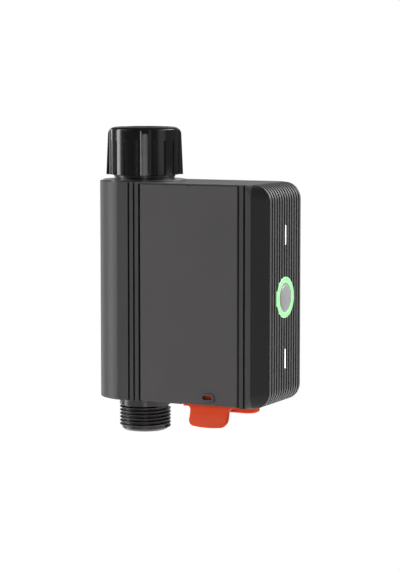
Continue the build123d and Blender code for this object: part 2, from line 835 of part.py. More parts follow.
# Swivel nut: a round core with four wings, bored out and threaded inside
with BuildPart() as swivel_nut:
    with BuildSketch(level(nut_foot_z)) as nut_plan:
        Circle(nut_core_r)
        with PolarLocations(nut_foot_r / 2, nut_wing_count, start_angle=nut_wing_turn - 90):
            Rectangle(nut_foot_r + overrun, nut_wing_width)
        core_corners = nut_plan.vertices().sort_by(lambda corner: corner.center().length)
        fillet(core_corners[:2 * nut_wing_count], nut_wing_flare_r)
    extrude(amount=nut_height)
    with BuildSketch(Plane.XZ) as nut_envelope:
        with BuildLine() as nut_outline:
            Polyline((0, nut_top_z), (0, nut_foot_z), (nut_foot_r, nut_foot_z),
                     (nut_head_r, nut_top_z - nut_top_r))
            JernArc(nut_outline.line @ 1, (0, 1), nut_top_r, 90)
            Line(nut_outline.line @ 1, (0, nut_top_z))
        make_face()
    revolve(axis=Axis.Z, mode=Mode.INTERSECT)
    # upright slots between the wings, round at the top and open at the foot
    slot_length = nut_height - nut_slot_drop + nut_slot_width
    slot_middle_z = nut_top_z - nut_slot_drop - slot_length / 2
    for quarter in range(nut_wing_count):
        for angle in nut_slot_angles:
            heading = radians(nut_wing_turn + quarter * 360 / nut_wing_count + angle)
            outward = Vector(cos(heading), sin(heading), 0)
            slot_floor = outward * (nut_core_r - nut_slot_depth) + Vector(0, 0, slot_middle_z)
            with BuildSketch(Plane(origin=slot_floor, x_dir=(0, 0, 1), z_dir=outward)):
                SlotOverall(slot_length, nut_slot_width)
            extrude(amount=nut_foot_flare, mode=Mode.SUBTRACT)
    rod_z(spigot_r + nut_lip_gap, nut_foot_z - overrun, nut_height, Mode.SUBTRACT)
    rod_z(nut_chamber_r, nut_foot_z + nut_lip_height, nut_height, Mode.SUBTRACT)
    rod_z(thread_major_r + nut_lead_in_ease, nut_top_z - nut_lead_in_height, nut_height, Mode.SUBTRACT)
    nut_thread_z = nut_chamber_above_seat + thread_pitch / 2
    nut_thread_height = nut_top_z - nut_lead_in_height - thread_pitch / 2 - nut_thread_z
    add(thread_ridge(nut_thread_z, nut_thread_height, nut_chamber_r, thread_minor_r, thread_bite))
save(swivel_nut.part, "swivel_nut")

# Inlet neck: sleeve in the valve body, disc on the casing, grooved collar and spigot
with BuildPart() as inlet_neck:
    rod_z(sleeve_r, chamber_head_z + seat_clearance, valve_top_z - chamber_head_z)
    rod_z(neck_r, valve_top_z, neck_rim_z - neck_groove_height - valve_top_z)
    rod_z(neck_flange_r, body_top_z, neck_flange_height)
    rod_z(neck_r - neck_groove_depth, neck_rim_z - neck_groove_height, neck_groove_height)
    rod_z(neck_r + neck_rim_width, neck_rim_z, neck_rim_height)
    rod_z(spigot_r, neck_rim_z + neck_rim_height, spigot_top_z - neck_rim_z - neck_rim_height)
    rod_z(neck_bore_r, chamber_head_z, body_height, Mode.SUBTRACT)
    rod_z(tail_tube_r, spigot_top_z - tail_tube_length, tail_tube_length + overrun, Mode.SUBTRACT)
    seal_groove(inlet_seal_z)
save(inlet_neck.part, "inlet_neck")

# Inlet tail, pressed into the neck, whose flange the nut's lip lifts against the tap
with BuildPart() as inlet_tail:
    rod_z(tail_tube_r, spigot_top_z - tail_tube_length, tail_tube_length)
    rod_z(tail_flange_r, spigot_top_z, tail_flange_height)
    rod_z(tail_bore_r, spigot_top_z - tail_tube_length - overrun, 2 * tail_tube_length, Mode.SUBTRACT)
    rod_z(screen_r, -washer_height - screen_thickness, tail_flange_height, Mode.SUBTRACT)
save(inlet_tail.part, "inlet_tail")

with BuildPart() as inlet_washer:
    rod_z(washer_r, -washer_height, washer_height)
    rod_z(tail_bore_r, -washer_height - overrun, washer_height + 2 * overrun, Mode.SUBTRACT)
save(inlet_washer.part, "inlet_washer")

# Filter screen, a perforated disc under the washer
with BuildPart() as filter_screen:
    rod_z(screen_r, -washer_height - screen_thickness, screen_thickness)
    with BuildSketch(level(-washer_height)):
        for ring in range(1, screen_ring_count + 1):
            with PolarLocations(ring * screen_pitch, screen_holes_per_ring * ring):
                Circle(screen_hole_r)
        Circle(screen_hole_r)
    extrude(amount=-screen_thickness, mode=Mode.SUBTRACT)
save(filter_screen.part, "filter_screen")

# Valve body: an upright pipe with the ball's chamber and a pad for the gearbox
with BuildPart() as valve_body:
    rod_z(valve_r, valve_foot_z, valve_top_z - valve_foot_z)
    block((pad_root_x, pad_face_x), (-pad_half_width, pad_half_width),
          (ball_z - pad_half_width, ball_z + pad_half_width))
    rod_z(chamber_r, valve_foot_z - overrun, outlet_sleeve_length + overrun, Mode.SUBTRACT)
    rod_z(valve_bore_r, valve_foot_z, chamber_head_z - valve_foot_z, Mode.SUBTRACT)
    rod_z(chamber_r, chamber_foot_z, valve_top_z - chamber_foot_z + overrun, Mode.SUBTRACT)
    rod_x(stem_r + running_clearance, 0, 0, ball_z, pad_face_x + overrun, Mode.SUBTRACT)
    rod_x(stem_collar_r + seat_clearance, stem_collar_x - seat_clearance, 0, ball_z, pad_face_x, Mode.SUBTRACT)
    for place in case_screw_places:
        rod_x(case_screw_r + running_clearance, case_floor_x - case_screw_length - running_clearance, *place,
              case_screw_length, Mode.SUBTRACT)
save(valve_body.part, "valve_body")

# Outlet neck: threaded pipe end, collar, flange on the casing's floor and sleeve
with BuildPart() as outlet_neck:
    rod_z(thread_minor_r, outlet_end_z, outlet_length + wall)
    rod_z(thread_major_r - outlet_waist_drop, body_foot_z - outlet_waist_height, outlet_waist_height + wall)
    rod_z(thread_major_r, body_foot_z - outlet_collar_height, outlet_collar_height - outlet_waist_height)
    rod_z(thread_major_r + outlet_flange_width, body_foot_z + wall, outlet_flange_height)
    rod_z(sleeve_r, valve_foot_z, outlet_sleeve_length - seat_clearance)
    chamfer(outlet_neck.faces().sort_by(Axis.Z)[0].edges(), outlet_chamfer)
    add(thread_ridge(outlet_thread_z, outlet_thread_height, thread_minor_r, thread_major_r, -thread_bite))
    rod_z(neck_bore_r, outlet_end_z - overrun, body_height, Mode.SUBTRACT)
    seal_groove(outlet_seal_z)
save(outlet_neck.part, "outlet_neck")

# Rubber rings between the two sleeves and the valve body
with BuildPart() as neck_seals:
    for seal_z in (inlet_seal_z, outlet_seal_z):
        rod_z(chamber_r - running_clearance, seal_z - seal_width / 2, seal_width)
        rod_z(sleeve_r - seal_depth, seal_z - seal_width, 2 * seal_width, Mode.SUBTRACT)
save(neck_seals.part, "neck_seals")

# Ball, shown closed: its bore runs from front to back
with BuildPart() as ball:
    with Locations((0, 0, ball_z)):
        Sphere(ball_r)
    rod_y(ball_bore_r, 0, -ball_r - overrun, ball_z, 2 * (ball_r + overrun), Mode.SUBTRACT)
    block((ball_r - ball_slot_depth, ball_r + overrun), (-ball_slot_width / 2, ball_slot_width / 2),
          (ball_z - ball_r, ball_z + ball_r), Mode.SUBTRACT)
save(ball.part, "ball")

with BuildPart() as ball_seats:
    for seat_z in (chamber_foot_z, chamber_head_z - seat_height):
        rod_z(sleeve_r, seat_z, seat_height)
    rod_z(valve_bore_r, chamber_foot_z - overrun, 2 * (chamber_half_height + overrun), Mode.SUBTRACT)
    with Locations((0, 0, ball_z)):
        Sphere(ball_r + running_clearance, mode=Mode.SUBTRACT)
save(ball_seats.part, "ball_seats")

# Valve stem: tang in the ball's slot, collar behind the gland, flats in the output gear
with BuildPart() as valve_stem:
    tang_x = ball_r - ball_slot_depth + part_gap
    rod_x(stem_r, ball_r + part_gap, 0, ball_z, gland_end_x - ball_r - part_gap)
    rod_x(stem_r, tang_x, 0, ball_z, ball_r + part_gap - tang_x)
    for side in (-1, 1):
        block((tang_x - overrun, ball_r + part_gap),
              sorted((side * stem_tang_width / 2, side * (stem_r + overrun))),
              (ball_z - stem_r - overrun, ball_z + stem_r + overrun), Mode.SUBTRACT)
    rod_x(stem_collar_r, stem_collar_x, 0, ball_z, stem_collar_height)
    for ring_x in stem_ring_xs:
        ring_along_x(stem_r + seat_clearance, stem_r - 2 * stem_ring_r, ring_x, 2 * stem_ring_r, Mode.SUBTRACT)
    rod_x(stem_head_r, gland_end_x, 0, ball_z, stem_end_x - gland_end_x)
    for side in (-1, 1):
        block((gland_end_x, stem_end_x + overrun),
              sorted((side * stem_flat, side * (stem_head_r + overrun))),
              (ball_z - stem_head_r, ball_z + stem_head_r), Mode.SUBTRACT)
save(valve_stem.part, "valve_stem")

with BuildPart() as stem_seals:
    for ring_x in stem_ring_xs:
        ring_along_x(stem_r, stem_r - 2 * stem_ring_r, ring_x, 2 * stem_ring_r)
save(stem_seals.part, "stem_seals")

# Gland that keeps the stem's collar in its counterbore
with BuildPart() as stem_gland:
    ring_along_x(stem_collar_r + running_clearance, stem_r + running_clearance,
                 stem_collar_x + stem_collar_height + running_clearance,
                 pad_face_x - stem_collar_x - stem_collar_height - running_clearance)
save(stem_gland.part, "stem_gland")

# Flow turbine: hub, slanted blades and shaft in one
with BuildPart(level(turbine_z)) as flow_turbine:
    Cylinder(turbine_hub_r, 2 * turbine_half_length)
    Cylinder(turbine_shaft_r, 2 * (turbine_half_length + turbine_cage_height))
    with PolarLocations((turbine_hub_r + turbine_blade_r) / 2, turbine_blade_count):
        with Locations(Location((0, 0, 0), (turbine_blade_tilt, 0, 0))):
            Box(turbine_blade_r, turbine_blade_thickness, 2 * turbine_half_length)
    Cylinder(turbine_blade_r, 2 * (turbine_half_length + turbine_cage_height), mode=Mode.INTERSECT)
save(flow_turbine.part, "flow_turbine")

# Two three-armed bearings that carry the turbine's shaft
with BuildPart() as turbine_bearings:
    for foot in (turbine_z - turbine_half_length - part_gap - turbine_cage_height,
                 turbine_z + turbine_half_length + part_gap):
        with BuildSketch(level(foot)):
            Circle(valve_bore_r - running_clearance)
            Circle(valve_bore_r - turbine_cage_wall, mode=Mode.SUBTRACT)
            Circle(turbine_hub_r)
            with PolarLocations(valve_bore_r / 2, turbine_arm_count):
                Rectangle(valve_bore_r - turbine_cage_wall, turbine_arm_width)
            Circle(turbine_shaft_r + running_clearance, mode=Mode.SUBTRACT)
        extrude(amount=turbine_cage_height)
save(turbine_bearings.part, "turbine_bearings")

# Sensor board that counts the turbine's turns through the valve body's wall
with BuildPart() as sensor_board:
    board_back_x = valve_r + sensor_thickness
    block((valve_r, board_back_x), (-sensor_chip / 2, sensor_chip / 2),
          (turbine_z - sensor_chip / 2, turbine_z + sensor_chip / 2))
    block((board_back_x, board_back_x + sensor_thickness), (-sensor_width / 2, sensor_width / 2),
          (turbine_z - sensor_length / 2, turbine_z + sensor_length / 2))
save(sensor_board.part, "sensor_board")

# Output gear, which fits the stem's two flats
with BuildPart() as output_gear:
    gear(output_module, output_teeth, ball_centre, 0, output_x, output_width)
    with BuildSketch(side_plane(output_x)):
        with Locations(ball_centre):
            Circle(stem_head_r + running_clearance)
            Rectangle(2 * (stem_flat + running_clearance), 4 * stem_head_r, mode=Mode.INTERSECT)
    extrude(amount=output_width, mode=Mode.SUBTRACT)
save(output_gear.part, "output_gear")

# Idler and second gear: each a wheel and a pinion in one piece
with BuildPart() as idler_gear:
    pinion_x = output_x - pinion_margin
    gear(output_module, pinion_teeth, idler_centre, facing_gap(idler_angle), pinion_x, idler_x - pinion_x)
    gear(idler_module, idler_teeth, idler_centre, second_angle, idler_x, idler_width)
    rod_x(axle_r + running_clearance, 0, *idler_centre, end_x, Mode.SUBTRACT)
save(idler_gear.part, "idler_gear")

with BuildPart() as second_gear:
    pinion_x = idler_x - pinion_margin
    gear(idler_module, pinion_teeth, second_centre, facing_gap(second_angle), pinion_x, second_x - pinion_x)
    gear(second_module, second_teeth, second_centre, motor_angle, second_x, second_width)
    rod_x(axle_r + running_clearance, 0, *second_centre, end_x, Mode.SUBTRACT)
save(second_gear.part, "second_gear")

with BuildPart() as motor_pinion:
    gear(second_module, pinion_teeth, motor_centre, facing_gap(motor_angle), second_x - pinion_margin,
         second_width + 2 * pinion_margin)
    rod_x(motor_shaft_r + running_clearance, 0, *motor_centre, end_x, Mode.SUBTRACT)
save(motor_pinion.part, "motor_pinion")

with BuildPart() as motor_shaft:
    shaft_x = second_x - pinion_margin
    rod_x(motor_shaft_r, shaft_x, *motor_centre, case_lid_x + case_lid + motor_shaft_depth - shaft_x)
save(motor_shaft.part, "motor_shaft")

with BuildPart() as gear_axles:
    for centre in (idler_centre, second_centre):
        rod_x(axle_r, case_floor_x - axle_bite, *centre, case_lid_x + axle_bite - case_floor_x + axle_bite)
save(gear_axles.part, "gear_axles")

# Gearbox case: floor on the valve body's pad, walls, axle bosses and corner posts
with BuildPart() as gearbox_case:
    case_section(0, pad_face_x, case_lid_x - pad_face_x)
    case_section(case_wall, case_floor_x, case_lid_x - case_floor_x, Mode.SUBTRACT)
    rod_x(2 * axle_r, pad_face_x, *idler_centre, output_x - pinion_margin - seat_clearance - pad_face_x)
    rod_x(2 * axle_r, pad_face_x, *second_centre, idler_x - pinion_margin - seat_clearance - pad_face_x)
    for place in lid_screw_places:
        rod_x(lid_post_r, pad_face_x, *place, case_lid_x - pad_face_x)
    for centre in (idler_centre, second_centre):
        rod_x(axle_r, case_floor_x - axle_bite, *centre, case_lid_x, Mode.SUBTRACT)
    for place in lid_screw_places:
        rod_x(lid_screw_r + running_clearance, case_lid_x + case_lid - lid_screw_length, *place,
              lid_screw_length, Mode.SUBTRACT)
    rod_x(stem_r + seat_clearance, pad_face_x - overrun, *ball_centre, case_floor + 2 * overrun, Mode.SUBTRACT)
    for place in case_screw_places:
        screw_x(*place, case_floor_x, case_screw_r, case_screw_head_r, case_screw_length,
                running_clearance, Mode.SUBTRACT)
save(gearbox_case.part, "gearbox_case")

with BuildPart() as gearbox_lid:
    case_section(0, case_lid_x, case_lid)
    for centre in (idler_centre, second_centre):
        rod_x(axle_r, case_lid_x - overrun, *centre, axle_bite + overrun, Mode.SUBTRACT)
    rod_x(motor_boss_r + seat_clearance, case_lid_x - overrun, *motor_centre, case_lid + 2 * overrun, Mode.SUBTRACT)
    for place in lid_screw_places:
        screw_x(*place, case_lid_x + case_lid, lid_screw_r, lid_screw_head_r, lid_screw_length,
                running_clearance, Mode.SUBTRACT)
save(gearbox_lid.part, "gearbox_lid")

# Countersunk screws: four hold the case to the pad, four hold the lid to the case
with BuildPart() as gearbox_screws:
    for place in case_screw_places:
        screw_x(*place, case_floor_x, case_screw_r, case_screw_head_r, case_screw_length, 0)
    for place in lid_screw_places:
        screw_x(*place, case_lid_x + case_lid, lid_screw_r, lid_screw_head_r, lid_screw_length, 0)
save(gearbox_screws.part, "gearbox_screws")

# Motor can with its front boss and two terminals
with BuildPart() as motor:
    motor_x = case_lid_x + case_lid
    rod_x(motor_r, motor_x, *motor_centre, motor_length)
    rod_x(motor_boss_r, motor_x - motor_boss_height, *motor_centre, motor_boss_height)
    for side in (-1, 1):
        terminal_y = motor_centre[0] + side * motor_terminal_place
        block((motor_x + motor_length, motor_x + motor_length + motor_terminal),
              (terminal_y - motor_terminal_width / 2, terminal_y + motor_terminal_width / 2),
              (motor_centre[1] - motor_terminal / 2, motor_centre[1] + motor_terminal / 2))
    rod_x(motor_shaft_r + running_clearance, motor_x - motor_boss_height - overrun, *motor_centre,
          motor_boss_height + overrun + motor_shaft_depth + running_clearance, Mode.SUBTRACT)
save(motor.part, "motor")

# Battery bay: a sleeve open below, with ledges on the casing's floor
with BuildPart() as battery_bay:
    bay_block(0, body_foot_z, bay_top_z)
    block((tray_x - bay_half - bay_ledge, tray_x + bay_half + bay_ledge), (-bay_half, bay_half),
          (body_foot_z + wall, body_foot_z + wall + bay_ledge_height))
    bay_block(bay_wall, body_foot_z - overrun, bay_ceiling_z, Mode.SUBTRACT)
    for centre_x, centre_y in cell_places:
        rod_z(contact_pin_r, bay_ceiling_z - overrun, 2 * bay_wall + overrun, Mode.SUBTRACT, centre_x, centre_y)
save(battery_bay.part, "battery_bay")

# Contacts in the bay's ceiling, with pins to the board side
with BuildPart() as bay_contacts:
    for centre_x, centre_y in cell_places:
        rod_z(cell_nub_r, bay_ceiling_z - 2 * contact_thickness, 2 * contact_thickness, x=centre_x, y=centre_y)
        rod_z(contact_pin_r, bay_ceiling_z, 2 * bay_wall, x=centre_x, y=centre_y)
save(bay_contacts.part, "bay_contacts")

# Battery tray, open at the top and on two sides
with BuildPart() as battery_tray:
    tray_box(tray_half, tray_foot_z, tray_top_z)
    tray_box(tray_half - tray_wall, tray_foot_z + tray_floor, tray_top_z + overrun, Mode.SUBTRACT)
    tray_window = tray_half * tray_window_share
    tray_middle_z = (tray_foot_z + tray_top_z) / 2
    tray_window_half = (tray_top_z - tray_foot_z) * tray_window_share / 2
    block((tray_x - tray_half - overrun, tray_x + tray_half + overrun), (-tray_window, tray_window),
          (tray_middle_z - tray_window_half, tray_middle_z + tray_window_half), Mode.SUBTRACT)
save(battery_tray.part, "battery_tray")

# Two nickel bridges on the tray's floor, with a raised seat under each cell
with BuildPart() as tray_contacts:
    contact_z = tray_foot_z + tray_floor
    for side in (-1, 1):
        middle_x = tray_x + side * cell_pitch / 2
        block((middle_x - cell_nub_r, middle_x + cell_nub_r),
              (-cell_pitch / 2 - cell_nub_r, cell_pitch / 2 + cell_nub_r),
              (contact_z, contact_z + contact_thickness))
    for centre_x, centre_y in cell_places:
        rod_z(cell_nub_r, contact_z, tray_spring_height, x=centre_x, y=centre_y)
save(tray_contacts.part, "tray_contacts")

# Four AA cells, two of them the other way up
with BuildPart() as aa_cells:
    for index, (centre_x, centre_y) in enumerate(cell_places):
        flipped = index in (1, 2)
        rod_z(cell_r, cell_foot_z + flipped * cell_nub_height, cell_length, x=centre_x, y=centre_y)
        rod_z(cell_nub_r, cell_foot_z, cell_length + cell_nub_height, x=centre_x, y=centre_y)
save(aa_cells.part, "aa_cells")

# Tray base: plug with a seal groove, grip bar and the lever's hinge ears
with BuildPart() as tray_base:
    tray_box(tray_half, body_foot_z - tray_gap, tray_foot_z)
    tray_ring(seal_inner_half, tray_half + overrun, tray_seal_z, tray_seal_height, Mode.SUBTRACT)
    grip_front = tray_half - tray_grip_front_inset
    grip_back = tray_half - tray_grip_back_inset
    with BuildSketch(level(body_foot_z - tray_grip_height)):
        with Locations((tray_x, (grip_back - grip_front) / 2)):
            RectangleRounded(2 * (tray_half + tray_grip_flange), grip_front + grip_back, tray_grip_corner_r)
    extrude(amount=tray_grip_height - tray_gap)
    fillet(tray_base.faces().sort_by(Axis.Z)[0].edges(), tray_grip_edge_r)
    for side in (-1, 1):
        inner = tray_x + side * (hinge_half_width + part_gap)
        outer = tray_x + side * (hinge_half_width + part_gap + hinge_ear)
        block(sorted((inner, outer)), (-hinge_front, -tray_half), (hinge_z - hinge_web / 2, hinge_z + hinge_web / 2))
        block(sorted((inner, outer)), (-tray_half, -grip_front), (hinge_z - hinge_web / 2, body_foot_z - tray_gap))
        rod_x(hinge_r, min(inner, outer), -hinge_front, hinge_z, hinge_ear)
    rod_x(hinge_pin_r, tray_x - hinge_span, -hinge_front, hinge_z, 2 * hinge_span, Mode.SUBTRACT)
save(tray_base.part, "tray_base")

with BuildPart() as tray_seal:
    tray_ring(seal_inner_half, bay_inner_half - running_clearance, tray_seal_z, tray_seal_height)
save(tray_seal.part, "tray_seal")

with BuildPart() as latch_pin:
    rod_x(hinge_pin_r, tray_x - hinge_span, -hinge_front, hinge_z, 2 * hinge_span)
save(latch_pin.part, "latch_pin")

# Release lever: arm with the locking nub, tab that bends outwards, and knuckle
with BuildPart() as release_lever:
    with BuildSketch(front_plane(-lever_face - lever_tip_reach - overrun)) as lever_plan:
        with BuildLine():
            Polyline((tray_x - lever_half_width, lever_end_z), (tray_x - lever_half_width, lever_arm_z),
                     (tray_x - lever_arm_half_width, lever_arm_z), (tray_x - lever_arm_half_width, lever_top_z),
                     (tray_x + lever_arm_half_width, lever_top_z), (tray_x + lever_arm_half_width, lever_arm_z),
                     (tray_x + lever_half_width, lever_arm_z), (tray_x + lever_half_width, lever_end_z))
            ThreePointArc((tray_x + lever_half_width, lever_end_z), (tray_x, lever_end_z - lever_tip_bow),
                          (tray_x - lever_half_width, lever_end_z))
        make_face()
        fillet(lever_plan.vertices().group_by(Axis.Y)[0], lever_tip_corner_r)
        fillet(lever_plan.vertices().group_by(Axis.Y)[-2].sort_by(Axis.X)[1:-1], lever_fillet_r)
    extrude(amount=-lever_tip_reach - lever_thickness - 2 * overrun)
    with BuildSketch(side_plane(tray_x - lever_arm_half_width - overrun)) as lever_side:
        with BuildLine():
            Polyline((-lever_face, lever_top_z + overrun), (-lever_face, lever_bend_z),
                     (-lever_face - lever_tip_reach, lever_tip_z),
                     (-lever_face - lever_tip_reach + lever_tip_thickness, lever_tip_z),
                     (lever_thickness - lever_face, lever_bend_z - lever_inner_drop),
                     (lever_thickness - lever_face, lever_top_z + overrun), close=True)
        make_face()
        fillet(lever_side.vertices().group_by(Axis.Y)[1], lever_bend_r + lever_thickness)
        fillet(lever_side.vertices().group_by(Axis.Y)[2], lever_bend_r)
    extrude(amount=2 * (lever_arm_half_width + overrun), mode=Mode.INTERSECT)
    tip_sides = release_lever.faces().filter_by(GeomType.PLANE).filter_by(lambda side: side.center().Z < lever_bend_z)
    fillet(tip_sides.sort_by(Axis.Y)[0].edges().filter_by(GeomType.ELLIPSE), lever_edge_r)
    block((tray_x - lever_nub_half_width, tray_x + lever_nub_half_width),
          (-lever_face - lever_nub_height, lever_thickness - lever_face),
          (window_z - lever_nub_half_height, window_z + lever_nub_half_height))
    block((tray_x - hinge_half_width, tray_x + hinge_half_width), (-lever_face, -hinge_front),
          (hinge_z - hinge_web / 2, hinge_z + hinge_web / 2))
    rod_x(hinge_r, tray_x - hinge_half_width, -hinge_front, hinge_z, 2 * hinge_half_width)
    rod_x(hinge_pin_r + running_clearance, tray_x - hinge_half_width - overrun, -hinge_front, hinge_z,
          2 * (hinge_half_width + overrun), Mode.SUBTRACT)
save(release_lever.part, "release_lever")

# Light ring: lip round the button, flange behind the casing's wall and sleeve to the board
with BuildPart() as light_ring:
    ring_face_x = end_x + ring_proud
    rod_x(ring_r, ring_face_x - ring_lip_thickness - ring_sleeve_length, 0, button_z,
          ring_lip_thickness + ring_sleeve_length)
    rod_x(ring_flange_r, end_x - wall - ring_flange_thickness, 0, button_z, ring_flange_thickness)
    fillet(light_ring.faces().sort_by(Axis.X)[-1].edges(), ring_edge_r)
    rod_x(ring_lip_r, 0, 0, button_z, ring_face_x + overrun, Mode.SUBTRACT)
    rod_x(ring_sleeve_r, 0, 0, button_z, ring_face_x - ring_lip_thickness, Mode.SUBTRACT)
save(light_ring.part, "light_ring")

# Button cap: domed front, flange behind the ring's lip, hollow core and pip
with BuildPart() as button_cap:
    flange_x = ring_face_x - ring_lip_thickness - seat_clearance - button_flange_thickness
    with BuildSketch(Plane.XZ):
        with BuildLine():
            cap_edge = Polyline((flange_x, button_z), (flange_x, button_z + button_r),
                                (end_x + button_proud - button_dome, button_z + button_r))
            RadiusArc(cap_edge @ 1, (end_x + button_proud, button_z), button_dome_r)
            Line((end_x + button_proud, button_z), (flange_x, button_z))
        make_face()
    revolve(axis=Axis((0, 0, button_z), (1, 0, 0)))
    rod_x(button_flange_r, flange_x, 0, button_z, button_flange_thickness)
    rod_x(button_core_r, flange_x - overrun, 0, button_z, ring_lip_thickness + overrun, Mode.SUBTRACT)
    rod_x(button_pip_r, plunger_end_x, 0, button_z, end_x - plunger_end_x)
save(button_cap.part, "button_cap")

# Light bars in the middle rib, each with a foot behind the wall
with BuildPart() as light_bars:
    for bar_z in bar_zs:
        block((end_x - wall, end_x), (-bar_width / 2, bar_width / 2),
              (bar_z - bar_length / 2, bar_z + bar_length / 2))
        block((end_x - wall - bar_foot_thickness, end_x - wall), (-bar_foot_width / 2, bar_foot_width / 2),
              (bar_z - bar_foot_length / 2, bar_z + bar_foot_length / 2))
save(light_bars.part, "light_bars")

# Main board on four posts, with the switch, lights, radio module and connectors
with BuildPart() as main_board:
    block((board_x, board_face_x), (-board_half_width, board_half_width), (board_foot_z, board_top_z))
    for place in board_post_places:
        rod_x(board_screw_r + running_clearance, board_x - overrun, *place, board_thickness + 2 * overrun,
              Mode.SUBTRACT)
save(main_board.part, "main_board")

with BuildPart() as board_screws:
    for place in board_post_places:
        rod_x(board_screw_r, board_x, *place, board_screw_length)
        rod_x(board_screw_head_r, board_x - board_screw_head, *place, board_screw_head)
save(board_screws.part, "board_screws")

with BuildPart() as push_switch:
    block((board_face_x, board_face_x + switch_height), (-switch_size / 2, switch_size / 2),
          (button_z - switch_size / 2, button_z + switch_size / 2))
    rod_x(plunger_r + running_clearance, plunger_end_x - plunger_length - button_travel - seat_clearance,
          0, button_z, switch_height, Mode.SUBTRACT)
save(push_switch.part, "push_switch")

with BuildPart() as switch_plunger:
    rod_x(plunger_r, plunger_end_x - plunger_length, 0, button_z, plunger_length)
save(switch_plunger.part, "switch_plunger")

with BuildPart() as leds:
    with BuildSketch(side_plane(board_face_x)):
        with Locations((0, button_z)):
            with PolarLocations(ring_sleeve_r + led_inset, led_count, start_angle=360 / (2 * led_count)):
                Rectangle(led_size, led_size)
        with Locations(*((0, bar_z) for bar_z in bar_zs)):
            Rectangle(led_size, led_size)
    extrude(amount=led_height)
save(leds.part, "leds")

with BuildPart() as radio_module:
    radio_z = board_top_z - radio_drop
    block((board_x - radio_height, board_x), (-radio_size[0] / 2, radio_size[0] / 2),
          (radio_z - radio_size[1] / 2, radio_z + radio_size[1] / 2))
save(radio_module.part, "radio_module")

with BuildPart() as board_connectors:
    for drop in connector_drops:
        connector_z = board_top_z - drop
        block((board_x - connector_height, board_x), (-connector_size[0] / 2, connector_size[0] / 2),
              (connector_z - connector_size[1] / 2, connector_z + connector_size[1] / 2))
save(board_connectors.part, "board_connectors")
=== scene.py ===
"""Looks of a tap-mounted smart water valve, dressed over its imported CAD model."""

from __future__ import annotations

import json
import logging
import math
from dataclasses import dataclass, field
from enum import Enum
from typing import Union

import bmesh
import bpy
from mathutils import Matrix, Vector

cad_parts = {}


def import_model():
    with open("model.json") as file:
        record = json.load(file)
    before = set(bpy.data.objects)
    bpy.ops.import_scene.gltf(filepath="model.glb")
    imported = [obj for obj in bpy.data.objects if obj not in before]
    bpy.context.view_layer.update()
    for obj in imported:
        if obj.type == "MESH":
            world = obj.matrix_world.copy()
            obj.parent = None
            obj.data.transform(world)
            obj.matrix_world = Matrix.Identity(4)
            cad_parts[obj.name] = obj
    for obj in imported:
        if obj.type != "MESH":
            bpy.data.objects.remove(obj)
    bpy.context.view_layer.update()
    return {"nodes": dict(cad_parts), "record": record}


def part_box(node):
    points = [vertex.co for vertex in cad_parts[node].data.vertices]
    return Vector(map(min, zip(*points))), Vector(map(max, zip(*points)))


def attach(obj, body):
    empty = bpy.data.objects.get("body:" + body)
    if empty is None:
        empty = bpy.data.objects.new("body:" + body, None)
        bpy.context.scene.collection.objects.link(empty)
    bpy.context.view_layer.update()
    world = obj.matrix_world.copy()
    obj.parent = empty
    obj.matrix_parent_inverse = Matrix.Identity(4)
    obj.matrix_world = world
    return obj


LOG = logging.getLogger("water_valve")
Colour = tuple[float, float, float]
Value = Union[float, "Wire"]

# The size that the camera was fitted to.
PICTURE_HEIGHT_PX = 570.0

# The slanted face between the casing's front and its ribbed end starts here; it takes a painted
# shade.
SLANT_X = 0.0703
SLANT_Y = -0.0187

# Radii that show. The boxes of these two pieces are those of their hidden flanges.
RING_INNER_R = 0.00775
RING_OUTER_R = 0.01025
CAP_MOAT_R = 0.0064

QUARTER_TURN = math.pi / 2
WHITE = (1.0, 1.0, 1.0)


def scaled(colour: Colour, factor: float) -> Colour:
    """Colour with every channel times a factor."""
    return tuple(channel * factor for channel in colour)


class Axis(Enum):
    """Directions that a machined or brushed finish can run in."""

    X = 0
    Y = 1
    Z = 2


